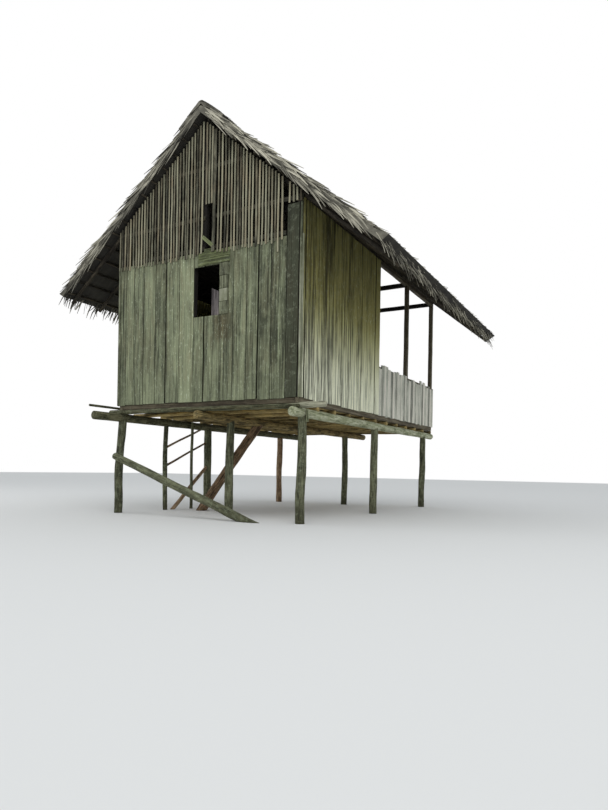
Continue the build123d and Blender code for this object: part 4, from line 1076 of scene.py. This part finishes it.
class STILTHOUSE_OT_roof_poles(bpy.types.Operator):
    """Ridge pole, rafters and battens of round wood"""

    bl_idname = "stilt_house.roof_poles"
    bl_label = "Roof poles"
    seed = 83

    def execute(self, context):
        rng = random.Random(self.seed)

        def rafter(mesh, low, high):
            radius = RAFTER_THICKNESS / 2
            side = 1 if high.x > -low.x else -1
            reach = max(-low.x, high.x) / PITCH_COS
            start, end = (slope_point(side, along, radius, (low.y + high.y) / 2)
                          for along in (RAFTER_ENDS[0], reach - RAFTER_ENDS[1]))
            add_log(mesh, start, end, radius, rng, sides=10, ring=0.3, crook=0.008, lumps=0.08)

        for name, make in (
                ("ridge_pole", lambda mesh, low, high: add_log(
                    mesh, *middle_line(low, high), (high.x - low.x) / 2, rng, crook=0.01)),
                ("rafters_left", rafter), ("rafters_right", rafter),
                ("battens", lambda mesh, low, high: add_log(
                    mesh, *middle_line(low, high), BATTEN_RADIUS, rng, sides=7, ring=0.35, crook=0.01, lumps=0.1))):
            # The roof poles are nearly black: painted shade under the thatch.
            dress(name, "round", "rafter", "pole_wood", make)
        return {"FINISHED"}


class STILTHOUSE_OT_thatch(bpy.types.Operator):
    """Palm leaf in lapped courses, with ragged eaves and verges"""

    bl_idname = "stilt_house.thatch"
    bl_label = "Thatch"
    seed = 97

    def execute(self, context):
        rng = random.Random(self.seed)
        sizes = context.scene.stilt_house_sizes
        length, width = sizes.leaf_length, sizes.leaf_width
        templates = leaf_templates(rng, count=12, length=length, width=width, droop=0.015)
        hanging = leaf_templates(rng, count=8, length=length * HANGING_SHARE, width=width, droop=0.09)
        for name, side in (("thatch_left", -1), ("thatch_right", 1)):
            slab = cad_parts[name].data
            slab.materials.clear()
            slab.materials.append(finishes()["thatch"])
            leaves = wood_mesh()
            self.courses(leaves, side, templates, sizes, rng)
            self.eave(leaves, side, hanging, sizes, rng)
            self.verges(leaves, side, templates, rng)
            keep_in_box(leaves)
            finish_piece(f"{name}_leaves", leaves, "leaf", "dry_thatch")
        self.ridge(sizes, rng)
        for mesh in templates + hanging:
            bpy.data.meshes.remove(mesh)
        return {"FINISHED"}

    def courses(self, leaves, side, templates, sizes, rng):
        """Leaves that lie on the steps of the slab, each with its tip near the edge of its course."""
        course = SLOPE_LENGTH / THATCH_COURSES
        ramp = THATCH_STEP / course
        back = THATCH_TOP * PITCH_TAN
        for level in range(1, THATCH_COURSES + 1):
            for index in range(sizes.leaf_rows):
                y = THATCH_LOW.y + (THATCH_HIGH.y - THATCH_LOW.y) * (index + rng.random()) / sizes.leaf_rows
                end = level * course - back + rng.uniform(*COURSE_ENDS)
                if level == THATCH_COURSES:
                    end -= LAST_COURSE_BACK
                length = min(sizes.leaf_length, end + back - COURSE_CREST)
                layer = THATCH_TOP + COURSE_LIFT - ramp * length + rng.uniform(0, COURSE_LOOSE)
                lay_leaf(leaves, rng.choice(templates), side, end - length, layer, y, ramp, COURSE_STRAY, rng,
                         stretch=length / sizes.leaf_length)

    def eave(self, leaves, side, hanging, sizes, rng):
        """Leaf ends that hang free along the eave."""
        for index in range(int(sizes.leaf_rows * EAVE_SHARE)):
            y = THATCH_LOW.y + (THATCH_HIGH.y - THATCH_LOW.y) * rng.random()
            layer = rng.uniform(EAVE_LOW_LAYER, THATCH_TOP)
            start = SLOPE_LENGTH - layer * PITCH_TAN - rng.uniform(*EAVE_BUTTS)
            lay_leaf(leaves, rng.choice(hanging), side, start, layer, y, EAVE_FALL, EAVE_STRAY, rng)

    def verges(self, leaves, side, templates, rng):
        """Leaves laid on the cut ends of the thatch, pointing down the slope and a little out."""
        for edge, outward in ((THATCH_LOW.y, -1), (THATCH_HIGH.y, 1)):
            for index in range(VERGE_LEAVES):
                along = rng.uniform(*VERGE_RUN)
                layer = rng.uniform(*VERGE_LAYERS)
                y = edge - outward * rng.uniform(0.0, VERGE_DEPTH)
                lay_leaf(leaves, rng.choice(templates), side, along - layer * PITCH_TAN, layer, y, VERGE_FALL,
                         VERGE_STRAY, rng, outward)

    def ridge(self, sizes, rng):
        """A saddle of packed leaf, with long leaves bent over the crest."""
        saddle = node_mesh("ridge_cap")
        bmesh.ops.translate(saddle, vec=(0, 0, SADDLE_DROP), verts=saddle.verts[:])
        finish_piece("ridge_saddle", saddle, "thatch", "dry_thatch", "ridge_cap")
        low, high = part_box("ridge_cap")
        length = 2 * high.x / PITCH_COS
        templates = leaf_templates(rng, count=10, length=length, width=sizes.leaf_width * RIDGE_WIDENING, droop=0.0,
                                   cuts=8, both_ends=True)
        count = sizes.leaf_rows * RIDGE_LAYERS
        leaves = wood_mesh()
        for index in range(count):
            y = low.y + (high.y - low.y) * (index + rng.random()) / count
            self.bend_over(leaves, rng.choice(templates), y, high.z + RIDGE_PEAK, length / 2, rng)
        for mesh in templates:
            bpy.data.meshes.remove(mesh)
        keep_in_box(leaves)
        finish_piece("ridge_leaves", leaves, "leaf", "dry_thatch")

    def bend_over(self, whole, template, y, peak, middle, rng):
        """Bend one long leaf over the crest, so that its ends lie on both slopes."""
        shift, turn, lift = rng.gauss(0, RIDGE_SHIFT), rng.gauss(0, RIDGE_TURN), rng.uniform(-RIDGE_DEPTH, 0.0)
        copy = template.copy()
        for vert in copy.vertices:
            along = vert.co.y - middle + shift
            x = along * PITCH_COS
            fall = PITCH_TAN * math.hypot(x, RIDGE_ROUND)
            vert.co = Vector((x, y + vert.co.x + turn * along, peak - fall + (vert.co.z + lift) / PITCH_COS))
        whole.from_mesh(copy)
        bpy.data.meshes.remove(copy)


class STILTHOUSE_OT_stage(bpy.types.Operator):
    """Plain floor, soft lights and the camera"""

    bl_idname = "stilt_house.stage"
    bl_label = "Stage"

    def execute(self, context):
        context.scene.view_settings.view_transform = "Standard"
        self.floor()
        self.world(context.scene)
        for lamp in LAMPS:
            self.lamp(*lamp)
        self.camera(context.scene)
        return {"FINISHED"}

    def floor(self):
        mesh_data = bmesh.new()
        bmesh.ops.create_grid(mesh_data, x_segments=1, y_segments=1, size=FLOOR_SIZE)
        mesh = bpy.data.meshes.new("Floor")
        mesh_data.to_mesh(mesh)
        mesh_data.free()
        finish = Finish("Plain floor", FLOOR_ROUGHNESS, FLOOR_SHINE)
        finish.put(finish.sockets["Base Color"], FLOOR_COLOUR)
        mesh.materials.append(finish.material)
        link_object("Floor", mesh)

    def world(self, scene):
        """Pale light on the house, and plain white where the camera looks past it."""
        scene.world = bpy.data.worlds.new("Studio")
        scene.world.use_nodes = True
        tree = scene.world.node_tree
        tree.nodes.clear()
        path, dim, white, seen, clear, mix, out = (tree.nodes.new(f"ShaderNode{kind}") for kind in (
            "LightPath", "Background", "Background", "Math", "Math", "MixShader", "OutputWorld"))
        for node, colour, strength in ((dim, SKY_COLOUR, SKY_STRENGTH), (white, (1, 1, 1, 1), 1.0)):
            node.inputs["Color"].default_value = colour
            node.inputs["Strength"].default_value = strength
        seen.operation = clear.operation = "MAXIMUM"
        for output, socket in ((path.outputs["Is Camera Ray"], seen.inputs[0]),
                               (path.outputs["Is Glossy Ray"], seen.inputs[1]),
                               (seen.outputs[0], clear.inputs[0]),
                               (path.outputs["Is Transmission Ray"], clear.inputs[1]),
                               (clear.outputs[0], mix.inputs[0]), (dim.outputs[0], mix.inputs[1]),
                               (white.outputs[0], mix.inputs[2]), (mix.outputs[0], out.inputs["Surface"])):
            tree.links.new(output, socket)

    def lamp(self, name, place, size, power):
        light = bpy.data.lights.new(name, "AREA")
        light.size = size
        light.energy = power
        lamp = link_object(name, light)
        lamp.location = place
        lamp.rotation_euler = (LAMP_AIM - Vector(place)).to_track_quat("-Z", "Y").to_euler()

    def camera(self, scene):
        """A camera that stands and looks as the photo's did."""
        camera = bpy.data.cameras.new("Camera")
        camera.sensor_fit = "VERTICAL"
        camera.sensor_height = SENSOR
        camera.lens = SENSOR * FOCAL_LENGTH / PICTURE_HEIGHT
        camera.shift_y = PICTURE_SHIFT / PICTURE_HEIGHT
        camera.clip_end = CLIP_END
        rig = link_object("Camera", camera)
        rig.location = CAMERA_PLACE
        level = Vector(CAMERA_AIM).to_track_quat("-Z", "Y").to_matrix()
        rig.rotation_euler = (level @ Matrix.Rotation(CAMERA_ROLL, 3, "Z")).to_euler()
        scene.camera = rig


class STILTHOUSE_PT_panel(bpy.types.Panel):
    bl_label = "Stilt House"
    bl_idname = "STILTHOUSE_PT_panel"
    bl_space_type = "VIEW_3D"
    bl_region_type = "UI"
    bl_category = "Stilt House"

    def draw(self, context):
        layout = self.layout
        for group in (context.scene.stilt_house_sizes, context.scene.stilt_house_colours):
            for name in group.__annotations__:
                layout.prop(group, name)
        for operator in OPERATORS:
            layout.operator(operator.bl_idname)


OPERATORS = (
    STILTHOUSE_OT_posts,
    STILTHOUSE_OT_floor_frame,
    STILTHOUSE_OT_wall_frame,
    STILTHOUSE_OT_gable_boards,
    STILTHOUSE_OT_side_boards,
    STILTHOUSE_OT_gable_slats,
    STILTHOUSE_OT_trim,
    STILTHOUSE_OT_roof_poles,
    STILTHOUSE_OT_thatch,
    STILTHOUSE_OT_stage,
)
CLASSES = (StiltHouseSizes, StiltHouseColours, *OPERATORS, STILTHOUSE_PT_panel)


def register():
    for item in CLASSES:
        bpy.utils.register_class(item)
    bpy.types.Scene.stilt_house_sizes = PointerProperty(type=StiltHouseSizes)
    bpy.types.Scene.stilt_house_colours = PointerProperty(type=StiltHouseColours)


def unregister():
    del bpy.types.Scene.stilt_house_colours
    del bpy.types.Scene.stilt_house_sizes
    for item in reversed(CLASSES):
        bpy.utils.unregister_class(item)


def main():
    register()
    for operator in OPERATORS:
        group, name = operator.bl_idname.split(".")
        getattr(getattr(bpy.ops, group), name)()
    bpy.context.view_layer.update()


if __name__ == "__main__":
    main()
